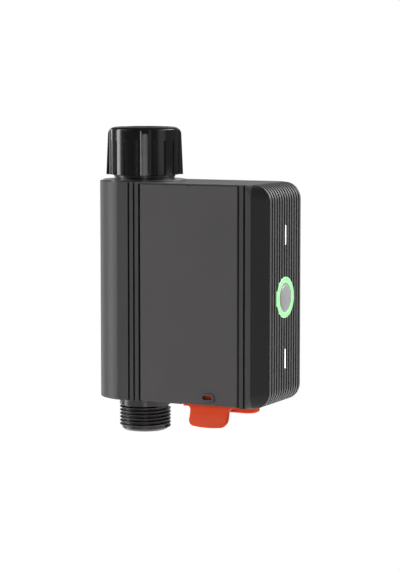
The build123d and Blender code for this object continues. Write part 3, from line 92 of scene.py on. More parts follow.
class Wire:
    """An output socket that arithmetic works on, so shader maths reads as Python."""

    def __init__(self, graph: "NodeMaker", socket: bpy.types.NodeSocket) -> None:
        """Wraps one output socket of a graph.

        Args:
            graph: The graph that new nodes are added to.
            socket: The output socket.
        """
        self.graph = graph
        self.socket = socket

    def _math(self, operation: str, first: Value, second: Value) -> "Wire":
        """Adds one Math node.

        Args:
            operation: The Math node's operation.
            first: Its first value.
            second: Its second value.

        Returns:
            The node's result.
        """
        settings = {"operation": operation}
        return self.graph.add("ShaderNodeMath", settings, {0: first, 1: second})

    def __add__(self, other: Value) -> "Wire":
        """Sum."""
        return self._math("ADD", self, other)

    def __radd__(self, other: Value) -> "Wire":
        """Sum with a number first."""
        return self._math("ADD", other, self)

    def __sub__(self, other: Value) -> "Wire":
        """Difference."""
        return self._math("SUBTRACT", self, other)

    def __rsub__(self, other: Value) -> "Wire":
        """Difference with a number first."""
        return self._math("SUBTRACT", other, self)

    def __mul__(self, other: Value) -> "Wire":
        """Product."""
        return self._math("MULTIPLY", self, other)

    def __truediv__(self, other: Value) -> "Wire":
        """Quotient."""
        return self._math("DIVIDE", self, other)

    def __pow__(self, other: Value) -> "Wire":
        """Power."""
        return self._math("POWER", self, other)

    def __abs__(self) -> "Wire":
        """Distance from zero."""
        return self._math("ABSOLUTE", self, 0.0)

    def sine(self) -> "Wire":
        """Sine of an angle in radians."""
        return self.graph.add("ShaderNodeMath", {"operation": "SINE"}, {0: self})

    def above(self, limit: Value) -> "Wire":
        """One where the value is over the limit, else nought."""
        return self._math("GREATER_THAN", self, limit)

    def below(self, limit: Value) -> "Wire":
        """One where the value is under the limit, else nought."""
        return self._math("LESS_THAN", self, limit)

    def most(self, other: Value) -> "Wire":
        """The larger of two values."""
        return self._math("MAXIMUM", self, other)

    def ease(self, low: float, high: float) -> "Wire":
        """Smooth step from nought at low to one at high.

        Args:
            low: Value that gives nought.
            high: Value that gives one.

        Returns:
            The eased value.
        """
        settings = {"interpolation_type": "SMOOTHSTEP"}
        inputs = {0: self, 1: low, 2: high, 3: 0.0, 4: 1.0}
        return self.graph.add("ShaderNodeMapRange", settings, inputs)


class NodeMaker:
    """A node tree whose nodes are all added through one method."""

    def __init__(self, tree: bpy.types.NodeTree) -> None:
        """Empties a tree.

        Args:
            tree: The material's or the world's node tree.
        """
        self.nodes = tree.nodes
        self.links = tree.links
        self.nodes.clear()

    def add(
        self,
        kind: str,
        settings: dict[str, object] | None = None,
        inputs: dict[int | str, object] | None = None,
        out: int | str = 0,
    ) -> Wire:
        """Adds a node, sets it up and fills its sockets.

        Args:
            kind: The node's type.
            settings: The node's own properties, set first.
            inputs: Values or wires for its input sockets, by index or name.
            out: The output socket that is wanted.

        Returns:
            The output socket as a wire.
        """
        node = self.nodes.new(kind)
        for key, value in (settings or {}).items():
            setattr(node, key, value)
        for key, value in (inputs or {}).items():
            self._feed(node.inputs[key], value)
        return Wire(self, node.outputs[out])

    def end(self, kind: str, surface: Wire) -> None:
        """Adds the output node and gives it a surface.

        Args:
            kind: The output node's type.
            surface: The last shader's output.
        """
        output = self.nodes.new(kind)
        self.links.new(surface.socket, output.inputs["Surface"])

    def _feed(self, socket: bpy.types.NodeSocket, value: object) -> None:
        """Links a wire to a socket, or sets the socket's own value.

        Args:
            socket: The input socket.
            value: A wire, a colour or a plain value.
        """
        if isinstance(value, Wire):
            self.links.new(value.socket, socket)
        elif isinstance(value, tuple) and socket.type == "RGBA":
            socket.default_value = (*value, 1.0)
        else:
            socket.default_value = value


class Graph(NodeMaker):
    """The node graph of one material, with its Principled shader."""

    def __init__(self, name: str) -> None:
        """Makes an empty material with one shader.

        Args:
            name: The material's name.
        """
        self.material = bpy.data.materials.new(name)
        self.material.use_nodes = True
        super().__init__(self.material.node_tree)
        self.shader = self.nodes.new("ShaderNodeBsdfPrincipled")

    def finish(self, surface: Wire | None = None) -> bpy.types.Material:
        """Gives the material its surface.

        Args:
            surface: The last shader's output, if it isn't the Principled shader's.

        Returns:
            The material.
        """
        self.end("ShaderNodeOutputMaterial", surface or Wire(self, self.shader.outputs[0]))
        return self.material

    def set(self, **values: object) -> None:
        """Feeds the shader's sockets: an underscore in a name stands for a space."""
        for key, value in values.items():
            self._feed(self.shader.inputs[key.replace("_", " ")], value)

    def place(self) -> Wire:
        """Place on the piece, in metres."""
        return self.add("ShaderNodeTexCoord", out="Object")

    def along(self, axis: Axis) -> Wire:
        """One coordinate of the place on the piece, in metres."""
        return self.add("ShaderNodeSeparateXYZ", None, {0: self.place()}, out=axis.value)

    def radius(self, middle_z: float) -> Wire:
        """Distance from the button's axis, in metres."""
        across, up = self.along(Axis.Y), self.along(Axis.Z) - middle_z
        return (across * across + up * up) ** 0.5

    def noise(self, scale: float, detail: float, stretch: Colour | None = None) -> Wire:
        """Noise from nought to one.

        Args:
            scale: Cells in a metre.
            detail: Octaves.
            stretch: Factors on X, Y and Z, for a brushed look.

        Returns:
            The noise value.
        """
        where = self.place()
        if stretch:
            where = self.add("ShaderNodeMapping", None, {"Vector": where, "Scale": stretch})
        inputs = {"Vector": where, "Scale": scale, "Detail": detail}
        return self.add("ShaderNodeTexNoise", None, inputs)

    def cells(self, scale: float) -> Wire:
        """Distance from the middles of scattered cells, with scale cells in a metre."""
        inputs = {"Vector": self.place(), "Scale": scale}
        return self.add("ShaderNodeTexVoronoi", {"feature": "F1"}, inputs, out="Distance")

    def blend(self, mask: Value, low: object, high: object) -> Wire:
        """Colour that goes from low to high with the mask."""
        inputs = {0: mask, 6: low, 7: high}
        return self.add("ShaderNodeMix", {"data_type": "RGBA"}, inputs, out=2)

    def bump(self, height: Wire, depth: float, strength: float, soft_edge: float) -> Wire:
        """Bump normal of a height, over softened edges.

        Args:
            height: Height from nought to one.
            depth: Depth of one unit of height, in metres.
            strength: Share of the bump that is used.
            soft_edge: Radius of softened edges, in metres.

        Returns:
            The normal.
        """
        soft = self.add("ShaderNodeBevel", {"samples": 4}, {"Radius": soft_edge})
        inputs = {"Height": height, "Distance": depth, "Strength": strength, "Normal": soft}
        return self.add("ShaderNodeBump", None, inputs)


@dataclass(frozen=True)
class MouldedPlastic:
    """Injection-moulded plastic with a spark-eroded grain, softened edges and painted shade in
    its creases.
    """

    name: str
    colour: Colour
    roughness: float = 0.5
    grain_per_metre: float = 2600.0
    grain_depth: float = 0.00003
    mottle: float = 0.12
    coat: float = 0.0
    soft_edge: float = 0.00025
    specular: float = 0.5
    crease: float = 0.0
    clouds_per_metre: float = 38.0
    pits_share: float = 0.6
    detail: float = 2.0
    roughness_drop: float = 0.05
    roughness_spread: float = 0.12
    crease_shade_colour: float = 0.05
    crease_roughness: float = 0.1
    crease_full: float = 0.7
    crease_none: float = 0.98
    coat_roughness: float = 0.18
    grain_strength: float = 0.6

    def make(self) -> bpy.types.Material:
        """Builds the material.

        Returns:
            The material.
        """
        graph = Graph(self.name)
        clouds = graph.noise(self.clouds_per_metre, self.detail)
        fine = graph.noise(self.grain_per_metre, self.detail)
        pits = graph.cells(self.grain_per_metre * self.pits_share)
        dark = scaled(self.colour, 1.0 - self.mottle)
        light = scaled(self.colour, 1.0 + self.mottle)
        colour = graph.blend(clouds * 0.6 + fine * 0.4, dark, light)
        uneven = (clouds * 0.5 + pits * 0.5) * self.roughness_spread
        roughness = self.roughness - self.roughness_drop + uneven
        shade = self._shade(graph)
        # Painted shade: where the shade mask is high, the colour is darkened almost to black and
        # the roughness rises.
        if shade is not None:
            colour = graph.blend(shade, colour, scaled(self.colour, self.crease_shade_colour))
            roughness = roughness + shade * self.crease_roughness
        relief = self._relief(graph, fine * 0.6 + pits * 0.4)
        graph.set(
            Base_Color=colour,
            Roughness=roughness,
            Normal=graph.bump(relief, self.grain_depth, self.grain_strength, self.soft_edge),
            Coat_Weight=self.coat,
            Coat_Roughness=self.coat_roughness,
            Specular_IOR_Level=self.specular,
        )
        return graph.finish()

    def _shade(self, graph: Graph) -> Wire | None:
        """Share of painted shade, from nought in the open to one deep in a crease.

        Args:
            graph: The material's graph.

        Returns:
            The share, or None for a plastic without painted crease shade.
        """
        if not self.crease:
            return None
        # Painted shade: ambient occlusion finds the creases and recesses that the colour is
        # darkened in.
        settings = {"samples": 8, "only_local": True}
        reach = {"Distance": self.crease}
        openness = graph.add("ShaderNodeAmbientOcclusion", settings, reach, out="AO")
        return 1.0 - openness.ease(self.crease_full, self.crease_none)

    def _relief(self, graph: Graph, grain: Wire) -> Wire:
        """Height of the surface, from nought to one."""
        return grain


@dataclass(frozen=True)
class CasingPlastic(MouldedPlastic):
    """Casing plastic whose slanted end face takes a painted shade, almost black, besides the
    painted shade in its creases.
    """

    slant_x: float = 0.0
    slant_y: float = 0.0
    slant_shade: float = 0.95

    def _shade(self, graph: Graph) -> Wire | None:
        """Share of painted shade in creases and on the slanted face.

        Args:
            graph: The material's graph.

        Returns:
            The share.
        """
        crease = MouldedPlastic._shade(self, graph)
        # Painted shade: the slanted end face between the front and the ribbed end is darkened
        # almost to black.
        painted_slant_shade = graph.along(Axis.X).above(self.slant_x) * graph.along(Axis.Y).below(self.slant_y)
        return crease.most(painted_slant_shade * self.slant_shade)


@dataclass(frozen=True)
class PanelPlastic(MouldedPlastic):
    """Panel plastic with fine level lines in its grain."""

    lines_per_metre: float = 1500.0
    line_stretch: Colour = (0.04, 1.0, 1.0)
    line_share: float = 0.8
    grain_share: float = 0.5

    def _relief(self, graph: Graph, grain: Wire) -> Wire:
        """Height of the grain with its lines."""
        lines = graph.noise(self.lines_per_metre, self.detail, self.line_stretch)
        return grain * self.grain_share + lines * self.line_share


@dataclass(frozen=True)
class CapPlastic(MouldedPlastic):
    """Button plastic with a shallow moat inside its rim."""

    middle_z: float = 0.0
    moat_r: float = 0.0
    moat_half_width: float = 0.0005
    grain_share: float = 0.04

    def _relief(self, graph: Graph, grain: Wire) -> Wire:
        """Height of the grain and the moat."""
        away = abs(graph.radius(self.middle_z) - self.moat_r)
        return grain * self.grain_share + away.ease(0.0, self.moat_half_width)


@dataclass(frozen=True)
class Metal:
    """Metal with fine tool marks that run along one axis."""

    name: str
    colour: Colour
    roughness: float
    grain: Axis
    marks_per_metre: float = 5200.0
    marks_stretch: float = 0.05
    marks_depth: float = 0.000006
    marks_strength: float = 0.5
    marks_roughness: float = 0.16
    tarnish_per_metre: float = 160.0
    tarnish_shade: float = 0.8
    tarnish_roughness: float = 0.06
    detail: float = 3.0
    soft_edge: float = 0.00012

    def make(self) -> bpy.types.Material:
        """Builds the material.

        Returns:
            The material.
        """
        graph = Graph(self.name)
        stretch = [1.0, 1.0, 1.0]
        stretch[self.grain.value] = self.marks_stretch
        marks = graph.noise(self.marks_per_metre, self.detail, tuple(stretch))
        tarnish = graph.noise(self.tarnish_per_metre, self.detail)
        uneven = (marks - 0.5) * self.marks_roughness + tarnish * self.tarnish_roughness
        graph.set(
            Base_Color=graph.blend(tarnish, scaled(self.colour, self.tarnish_shade), self.colour),
            Metallic=1.0,
            Roughness=self.roughness + uneven,
            Normal=graph.bump(marks, self.marks_depth, self.marks_strength, self.soft_edge),
        )
        return graph.finish()


@dataclass(frozen=True)
class Rubber:
    """Soft black rubber with a faint bloom."""

    name: str
    colour: Colour
    bloom_per_metre: float = 240.0
    bloom_detail: float = 4.0
    bloom_gain: float = 1.9
    bloom_lift: float = 0.01
    grit_per_metre: float = 4200.0
    grit_detail: float = 2.0
    grit_depth: float = 0.00002
    grit_strength: float = 0.5
    grit_roughness: float = 0.16
    roughness: float = 0.72
    specular: float = 0.3
    soft_edge: float = 0.0002

    def make(self) -> bpy.types.Material:
        """Builds the material.

        Returns:
            The material.
        """
        graph = Graph(self.name)
        bloom = graph.noise(self.bloom_per_metre, self.bloom_detail)
        grit = graph.noise(self.grit_per_metre, self.grit_detail)
        pale = tuple(channel * self.bloom_gain + self.bloom_lift for channel in self.colour)
        graph.set(
            Base_Color=graph.blend(bloom ** 2.0, self.colour, pale),
            Roughness=self.roughness + grit * self.grit_roughness,
            Normal=graph.bump(grit, self.grit_depth, self.grit_strength, self.soft_edge),
            Specular_IOR_Level=self.specular,
        )
        return graph.finish()


@dataclass(frozen=True)
class LitPlastic:
    """Milky plastic that is lit from behind."""

    name: str
    colour: Colour
    glow: Colour
    strength: float
    haze_per_metre: float = 900.0
    haze_detail: float = 2.0
    haze_depth: float = 0.00001
    haze_strength: float = 0.3
    haze_roughness: float = 0.08
    dimmest: float = 0.86
    roughness: float = 0.34
    soft_edge: float = 0.0002

    def make(self) -> bpy.types.Material:
        """Builds the material.

        Returns:
            The material.
        """
        graph = Graph(self.name)
        haze = graph.noise(self.haze_per_metre, self.haze_detail)
        graph.set(
            Base_Color=graph.blend(haze, self.colour, self.glow),
            Roughness=self.roughness + haze * self.haze_roughness,
            Emission_Color=self._light(graph, haze),
            Emission_Strength=self.strength,
            Normal=graph.bump(haze, self.haze_depth, self.haze_strength, self.soft_edge),
        )
        return graph.finish()

    def _light(self, graph: Graph, haze: Wire) -> Wire:
        """Colour of the light over the surface."""
        return graph.blend(haze, scaled(self.glow, self.dimmest), self.glow)


@dataclass(frozen=True)
class LitRing(LitPlastic):
    """Lit ring that is paler along both of its edges than at its middle."""

    middle_z: float = 0.0
    inner_r: float = 0.0
    outer_r: float = 0.0
    pale: Colour = (0.4, 0.9, 0.4)
    pale_start: float = 0.2

    def _light(self, graph: Graph, haze: Wire) -> Wire:
        """Colour of the light over the ring.

        Args:
            graph: The material's graph.
            haze: Noise from nought to one.

        Returns:
            The colour.
        """
        middle, half = (self.inner_r + self.outer_r) / 2, (self.outer_r - self.inner_r) / 2
        away = abs(graph.radius(self.middle_z) - middle)
        edge = away.ease(half * self.pale_start, half)
        return graph.blend(edge, LitPlastic._light(self, graph, haze), self.pale)


@dataclass(frozen=True)
class SolderMask:
    """Circuit board with copper tracks under a green mask."""

    name: str
    colour: Colour
    track: Colour
    pad: Colour = (0.62, 0.5, 0.24)
    waves_per_metre: float = 420.0
    radians_per_wave: float = 6.28
    track_low: float = 0.1
    track_high: float = 0.5
    patches_per_metre: float = 110.0
    patch_limit: float = 0.5
    pads_per_metre: float = 300.0
    pad_limit: float = 0.11
    pad_metallic: float = 0.8
    roughness: float = 0.34
    track_roughness: float = 0.08
    copper_depth: float = 0.00003
    copper_strength: float = 0.6
    soft_edge: float = 0.0001

    def make(self) -> bpy.types.Material:
        """Builds the material.

        Returns:
            The material.
        """
        graph = Graph(self.name)
        across = self._lines(graph, Axis.Y)
        along = self._lines(graph, Axis.Z)
        patch = graph.noise(self.patches_per_metre, 0.0).above(self.patch_limit)
        tracks = across * patch + along * (1.0 - patch)
        pads = graph.cells(self.pads_per_metre).below(self.pad_limit)
        masked = graph.blend(tracks, self.colour, self.track)
        copper = tracks + pads
        graph.set(
            Base_Color=graph.blend(pads, masked, self.pad),
            Metallic=pads * self.pad_metallic,
            Roughness=self.roughness + tracks * self.track_roughness,
            Normal=graph.bump(copper, self.copper_depth, self.copper_strength, self.soft_edge),
        )
        return graph.finish()

    def _lines(self, graph: Graph, axis: Axis) -> Wire:
        """Parallel tracks across one axis."""
        wave = (graph.along(axis) * (self.waves_per_metre * self.radians_per_wave)).sine()
        return wave.ease(self.track_low, self.track_high)


@dataclass(frozen=True)
class CellSleeve:
    """Plain metal sleeve of a dry cell, with a coloured band above and bare ends."""

    name: str
    low: float
    high: float
    dark: Colour
    band: Colour
    bare: Colour
    end: float = 0.0009
    button: float = 0.001
    band_low: float = 0.7
    band_high: float = 0.705
    metallic: float = 0.25
    bare_metallic: float = 0.7
    roughness: float = 0.26
    scuffs_per_metre: float = 700.0
    scuff_detail: float = 4.0
    scuff_depth: float = 0.00001
    scuff_strength: float = 0.4
    scuff_roughness: float = 0.12
    soft_edge: float = 0.0003
    coat: float = 0.3

    def make(self) -> bpy.types.Material:
        """Builds the material.

        Returns:
            The material.
        """
        graph = Graph(self.name)
        height = graph.along(Axis.Z)
        foot = height.below(self.low + self.end)
        ends = foot + height.above(self.high - self.end - self.button)
        share = (height - self.low) / (self.high - self.low)
        sleeve = graph.blend(share.ease(self.band_low, self.band_high), self.dark, self.band)
        scuff = graph.noise(self.scuffs_per_metre, self.scuff_detail)
        graph.set(
            Base_Color=graph.blend(ends, sleeve, self.bare),
            Metallic=self.metallic + ends * self.bare_metallic,
            Roughness=self.roughness + scuff * self.scuff_roughness,
            Normal=graph.bump(scuff, self.scuff_depth, self.scuff_strength, self.soft_edge),
            Coat_Weight=self.coat,
        )
        return graph.finish()


class Finishes:
    """Every finish of the valve, by the name of the record's material slot."""

    def __init__(self) -> None:
        """Builds each material once."""
        makers = [*self._outside(), *self._inside()]
        self.by_slot = {maker.name: maker.make() for maker in makers}

    def _outside(self) -> list[MouldedPlastic | LitPlastic]:
        """Finishes of the pieces that the photograph shows.

        Returns:
            The finishes.
        """
        ring_low, ring_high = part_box("light_ring")
        button_z = (ring_low.z + ring_high.z) / 2
        return [
            CasingPlastic(
                "casing_plastic",
                colour=(0.048, 0.0455, 0.047),
                roughness=0.42,
                grain_per_metre=1400.0,
                grain_depth=0.000006,
                specular=0.4,
                crease=0.002,
                slant_x=SLANT_X,
                slant_y=SLANT_Y,
            ),
            PanelPlastic(
                "panel_plastic",
                colour=(0.064, 0.0602, 0.0626),
                roughness=0.56,
                grain_per_metre=3400.0,
                grain_depth=0.00004,
                mottle=0.16,
                specular=0.35,
            ),
            MouldedPlastic(
                "nut_plastic",
                colour=(0.004, 0.0038, 0.004),
                roughness=0.2,
                grain_per_metre=1800.0,
                grain_depth=0.000002,
                coat=0.4,
                soft_edge=0.0004,
                crease=0.0008,
            ),
            MouldedPlastic(
                "pipe_plastic",
                colour=(0.046, 0.043, 0.0445),
                roughness=0.3,
                grain_per_metre=1800.0,
                grain_depth=0.000004,
                coat=0.15,
                soft_edge=0.0002,
                crease=0.0015,
            ),
            MouldedPlastic(
                "orange_plastic",
                colour=(0.7, 0.062, 0.016),
                roughness=0.5,
                grain_per_metre=2200.0,
                grain_depth=0.000004,
                mottle=0.06,
                soft_edge=0.0005,
                specular=0.15,
                crease=0.002,
            ),
            CapPlastic(
                "button_plastic",
                colour=(0.19, 0.19, 0.194),
                roughness=0.36,
                grain_depth=0.0008,
                mottle=0.05,
                middle_z=button_z,
                moat_r=CAP_MOAT_R,
            ),
            LitRing(
                "clear_green",
                colour=(0.03, 0.11, 0.03),
                glow=(0.19, 0.52, 0.205),
                strength=1.0,
                middle_z=button_z,
                inner_r=RING_INNER_R,
                outer_r=RING_OUTER_R,
            ),
            LitPlastic(
                "clear_white",
                colour=(0.9, 0.92, 0.93),
                glow=(0.95, 0.97, 1.0),
                strength=0.8,
            ),
        ]

    def _inside(self) -> list[MouldedPlastic | Metal | Rubber | SolderMask | CellSleeve]:
        """Finishes of the pieces that the casing hides.

        Returns:
            The finishes.
        """
        cells_low, cells_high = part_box("aa_cells")
        return [
            MouldedPlastic(
                "valve_plastic",
                colour=(0.1, 0.1, 0.105),
                roughness=0.5,
                grain_per_metre=900.0,
                mottle=0.25,
            ),
            MouldedPlastic(
                "white_plastic",
                colour=(0.78, 0.77, 0.72),
                roughness=0.42,
                grain_per_metre=1200.0,
                grain_depth=0.00001,
                mottle=0.05,
            ),
            MouldedPlastic("lever_inner", colour=(0.1, 0.1, 0.1)),
            Metal("steel", colour=(0.62, 0.62, 0.63), roughness=0.3, grain=Axis.Z),
            Metal("polished_steel", colour=(0.75, 0.75, 0.77), roughness=0.1, grain=Axis.Y),
            Metal("brass", colour=(0.78, 0.58, 0.28), roughness=0.26, grain=Axis.X),
            Rubber("seal_rubber", colour=(0.02, 0.02, 0.02)),
            SolderMask("board", colour=(0.02, 0.13, 0.06), track=(0.05, 0.24, 0.11)),
            CellSleeve(
                "cell_skin",
                low=cells_low.z,
                high=cells_high.z,
                dark=(0.03, 0.035, 0.045),
                band=(0.5, 0.33, 0.1),
                bare=(0.6, 0.6, 0.6),
            ),
        ]

    def dress(self, record: dict, nodes: dict[str, bpy.types.Object]) -> None:
        """Gives every CAD node the finish of its slot.

        Args:
            record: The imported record.
            nodes: CAD nodes by name.
        """
        for subpart in record["subparts"]:
            node = nodes[subpart["node"]]
            node.data.materials.clear()
            node.data.materials.append(self.by_slot[subpart["material_slot"]])
            LOG.info("dressed %s in %s", subpart["node"], subpart["material_slot"])


class TreeMaker:
    """A Geometry Nodes tree under construction, with named inputs."""

    def __init__(self, name: str) -> None:
        """Starts a tree that gives out one geometry.

        Args:
            name: The tree's name.
        """
        self.tree = bpy.data.node_groups.new(name, "GeometryNodeTree")
        for in_out in ("INPUT", "OUTPUT"):
            kind = "NodeSocketGeometry"
            self.tree.interface.new_socket("Geometry", in_out=in_out, socket_type=kind)
        self.start = self.tree.nodes.new("NodeGroupInput")
        self.end = self.tree.nodes.new("NodeGroupOutput")
        self.values: dict[str, float] = {}

    def size(self, name: str, value: float | int) -> bpy.types.NodeSocket:
        """Adds a named input.

        Args:
            name: The input's name.
            value: The value that the modifier gives it.

        Returns:
            The socket inside the tree.
        """
        kind = "NodeSocketInt" if isinstance(value, int) else "NodeSocketFloat"
        item = self.tree.interface.new_socket(name, in_out="INPUT", socket_type=kind)
        self.values[item.identifier] = value
        return next(wire for wire in self.start.outputs if wire.identifier == item.identifier)

    def node(
        self,
        kind: str,
        inputs: dict[int | str, object] | None = None,
        settings: dict[str, object] | None = None,
        out: int | str = 0,
    ) -> bpy.types.NodeSocket:
        """Adds a node and returns one of its outputs.

        Args:
            kind: The node's type.
            inputs: Values or sockets for its inputs.
            settings: The node's own properties, set first.
            out: The output that is wanted.

        Returns:
            The output socket.
        """
        node = self.tree.nodes.new(kind)
        for key, value in (settings or {}).items():
            setattr(node, key, value)
        for key, value in (inputs or {}).items():
            if isinstance(value, bpy.types.NodeSocket):
                self.tree.links.new(value, node.inputs[key])
            else:
                node.inputs[key].default_value = value
        return node.outputs[out]

    def grid_points(
        self,
        size: tuple[float, float],
        counts: tuple[Value, Value],
        place: Vector,
        upright: bool,
        keep: bpy.types.NodeSocket | None = None,
    ) -> bpy.types.NodeSocket:
        """Adds points on a flat grid.

        Args:
            size: The grid's size along its two sides.
            counts: Numbers of points along them.
            place: The grid's middle.
            upright: Whether the grid faces along X, with its first side upright, or up.
            keep: Which of the points are kept, where it isn't all.

        Returns:
            The points.
        """
        inputs = {
            "Size X": size[0],
            "Size Y": size[1],
            "Vertices X": counts[0],
            "Vertices Y": counts[1],
        }
        grid = self.node("GeometryNodeMeshGrid", inputs)
        turn = (0.0, QUARTER_TURN if upright else 0.0, 0.0)
        inputs = {"Geometry": grid, "Translation": place, "Rotation": turn}
        inputs = {"Mesh": self.node("GeometryNodeTransform", inputs)}
        if keep is not None:
            inputs["Selection"] = keep
        return self.node("GeometryNodeMeshToPoints", inputs)

    def finish(
        self, name: str, geometry: bpy.types.NodeSocket, material: bpy.types.Material
    ) -> bpy.types.Object:
        """Realizes the geometry and turns it into a plain mesh.

        Args:
            name: The piece's name.
            geometry: The last geometry socket.
            material: The piece's finish.

        Returns:
            The piece, with no modifier left on it.
        """
        real = self.node("GeometryNodeRealizeInstances", {0: geometry})
        inputs = {"Geometry": real, "Material": material}
        dressed = self.node("GeometryNodeSetMaterial", inputs)
        self.tree.links.new(dressed, self.end.inputs[0])
        seed = bpy.data.objects.new(name + "_seed", bpy.data.meshes.new(name + "_seed"))
        bpy.context.scene.collection.objects.link(seed)
        modifier = seed.modifiers.new("tree", "NODES")
        modifier.node_group = self.tree
        for identifier, value in self.values.items():
            modifier[identifier] = value
        depsgraph = bpy.context.evaluated_depsgraph_get()
        mesh = bpy.data.meshes.new_from_object(seed.evaluated_get(depsgraph))
        bpy.data.objects.remove(seed)
        if not mesh.materials:
            mesh.materials.append(material)
        piece = bpy.data.objects.new(name, mesh)
        bpy.context.scene.collection.objects.link(piece)
        return piece


def place_on(piece: bpy.types.Object, body: str) -> None:
    """Makes a piece ride on a body.

    Args:
        piece: The piece.
        body: The body's name.
    """
    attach(piece, body)
    LOG.info("%s rides on %s, %d faces", piece.name, body, len(piece.data.polygons))


@dataclass
class BoardParts:
    """Small components in rows on the main board's inner face."""

    finishes: Finishes
    rows: int = 9
    columns: int = 7
    part_length: float = 0.0016
    part_height: float = 0.0007
    gap_above: float = 0.003
    gap_below: float = 0.010
    width_share: float = 0.72
    filled_share: float = 0.72
    smallest: Colour = (1.0, 0.5, 0.5)
    largest: Colour = (1.0, 1.7, 2.2)
    seed: int = 4

    def build(self) -> bpy.types.Object:
        """Builds the rows of parts between the connectors and the board's foot.

        Returns:
            The piece.
        """
        low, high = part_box("main_board")
        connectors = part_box("board_connectors")
        top, foot = connectors[0].z - self.gap_above, low.z + self.gap_below
        maker = TreeMaker("board_parts")
        length = maker.size("Part length", self.part_length)
        height = maker.size("Part height", self.part_height)
        columns = maker.size("Columns", self.columns)
        rows = maker.size("Rows", self.rows)
        keep = maker.node(
            "FunctionNodeRandomValue",
            {"Probability": self.filled_share, "Seed": self.seed},
            {"data_type": "BOOLEAN"},
            out=3,
        )
        points = maker.grid_points(
            size=(top - foot, (high.y - low.y) * self.width_share),
            counts=(rows, columns),
            place=Vector((low.x - self.part_height / 2, 0.0, (top + foot) / 2)),
            upright=True,
            keep=keep,
        )
        size = maker.node("ShaderNodeCombineXYZ", {0: height, 1: length, 2: length})
        cube = maker.node("GeometryNodeMeshCube", {"Size": size})
        stretch = maker.node(
            "FunctionNodeRandomValue",
            {0: self.smallest, 1: self.largest, "Seed": self.seed + 1},
            {"data_type": "FLOAT_VECTOR"},
        )
        inputs = {"Points": points, "Instance": cube, "Scale": stretch}
        parts = maker.node("GeometryNodeInstanceOnPoints", inputs)
        piece = maker.finish("board_parts", parts, self.finishes.by_slot["lever_inner"])
        place_on(piece, "valve")
        return piece


@dataclass
class TrayCoils:
    """Small springs round the raised seats under the cells."""

    finishes: Finishes
    wire: float = 0.0004
    turns: float = 2.5
    inner: float = 0.0032
    outer: float = 0.0052
    bridge_thickness: float = 0.0006
    seat_inset: float = 0.0027
    resolution: int = 28
    section_sides: int = 8

    def build(self) -> bpy.types.Object:
        """Builds one flat conical spring for each cell.

        Returns:
            The piece.
        """
        low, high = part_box("tray_contacts")
        cells_low, cells_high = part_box("aa_cells")
        middle = (cells_low + cells_high) / 2
        pitch = (low + high).x / 2 - low.x - self.seat_inset
        maker = TreeMaker("tray_coils")
        inner = maker.size("Inner radius", self.inner)
        outer = maker.size("Outer radius", self.outer)
        turns = maker.size("Turns", self.turns)
        inputs = {
            "Resolution": self.resolution,
            "Rotations": turns,
            "Start Radius": outer,
            "End Radius": inner,
            "Height": high.z - low.z - self.bridge_thickness - self.wire,
        }
        coil = maker.node("GeometryNodeCurveSpiral", inputs)
        inputs = {"Resolution": self.section_sides, "Radius": self.wire / 2}
        section = maker.node("GeometryNodeCurvePrimitiveCircle", inputs)
        inputs = {"Curve": coil, "Profile Curve": section, "Fill Caps": True}
        tube = maker.node("GeometryNodeCurveToMesh", inputs)
        points = maker.grid_points(
            size=(2 * pitch, 2 * pitch),
            counts=(2, 2),
            place=Vector((middle.x, 0.0, low.z + self.bridge_thickness + self.wire / 2)),
            upright=False,
        )
        inputs = {"Points": points, "Instance": tube}
        coils = maker.node("GeometryNodeInstanceOnPoints", inputs)
        piece = maker.finish("tray_coils", coils, self.finishes.by_slot["polished_steel"])
        place_on(piece, "tray")
        return piece


@dataclass
class ConnectorPins:
    """Rows of pins that stand in the board's connectors."""

    finishes: Finishes
    pin: float = 0.0006
    reach: float = 0.0012
    count: int = 4
    end_inset: float = 0.002
    width_share: float = 0.7

    def build(self) -> bpy.types.Object:
        """Builds a row of pins on each connector.

        Returns:
            The piece.
        """
        low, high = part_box("board_connectors")
        maker = TreeMaker("connector_pins")
        count = maker.size("Pins", self.count)
        pin = maker.size("Pin", self.pin)
        points = maker.grid_points(
            size=(high.z - low.z - 2 * self.end_inset, (high.y - low.y) * self.width_share),
            counts=(2, count),
            place=Vector((low.x, 0.0, (low.z + high.z) / 2)),
            upright=True,
        )
        size = maker.node("ShaderNodeCombineXYZ", {0: self.reach, 1: pin, 2: pin})
        cube = maker.node("GeometryNodeMeshCube", {"Size": size})
        inputs = {"Points": points, "Instance": cube}
        pins = maker.node("GeometryNodeInstanceOnPoints", inputs)
        piece = maker.finish("connector_pins", pins, self.finishes.by_slot["brass"])
        place_on(piece, "valve")
        return piece


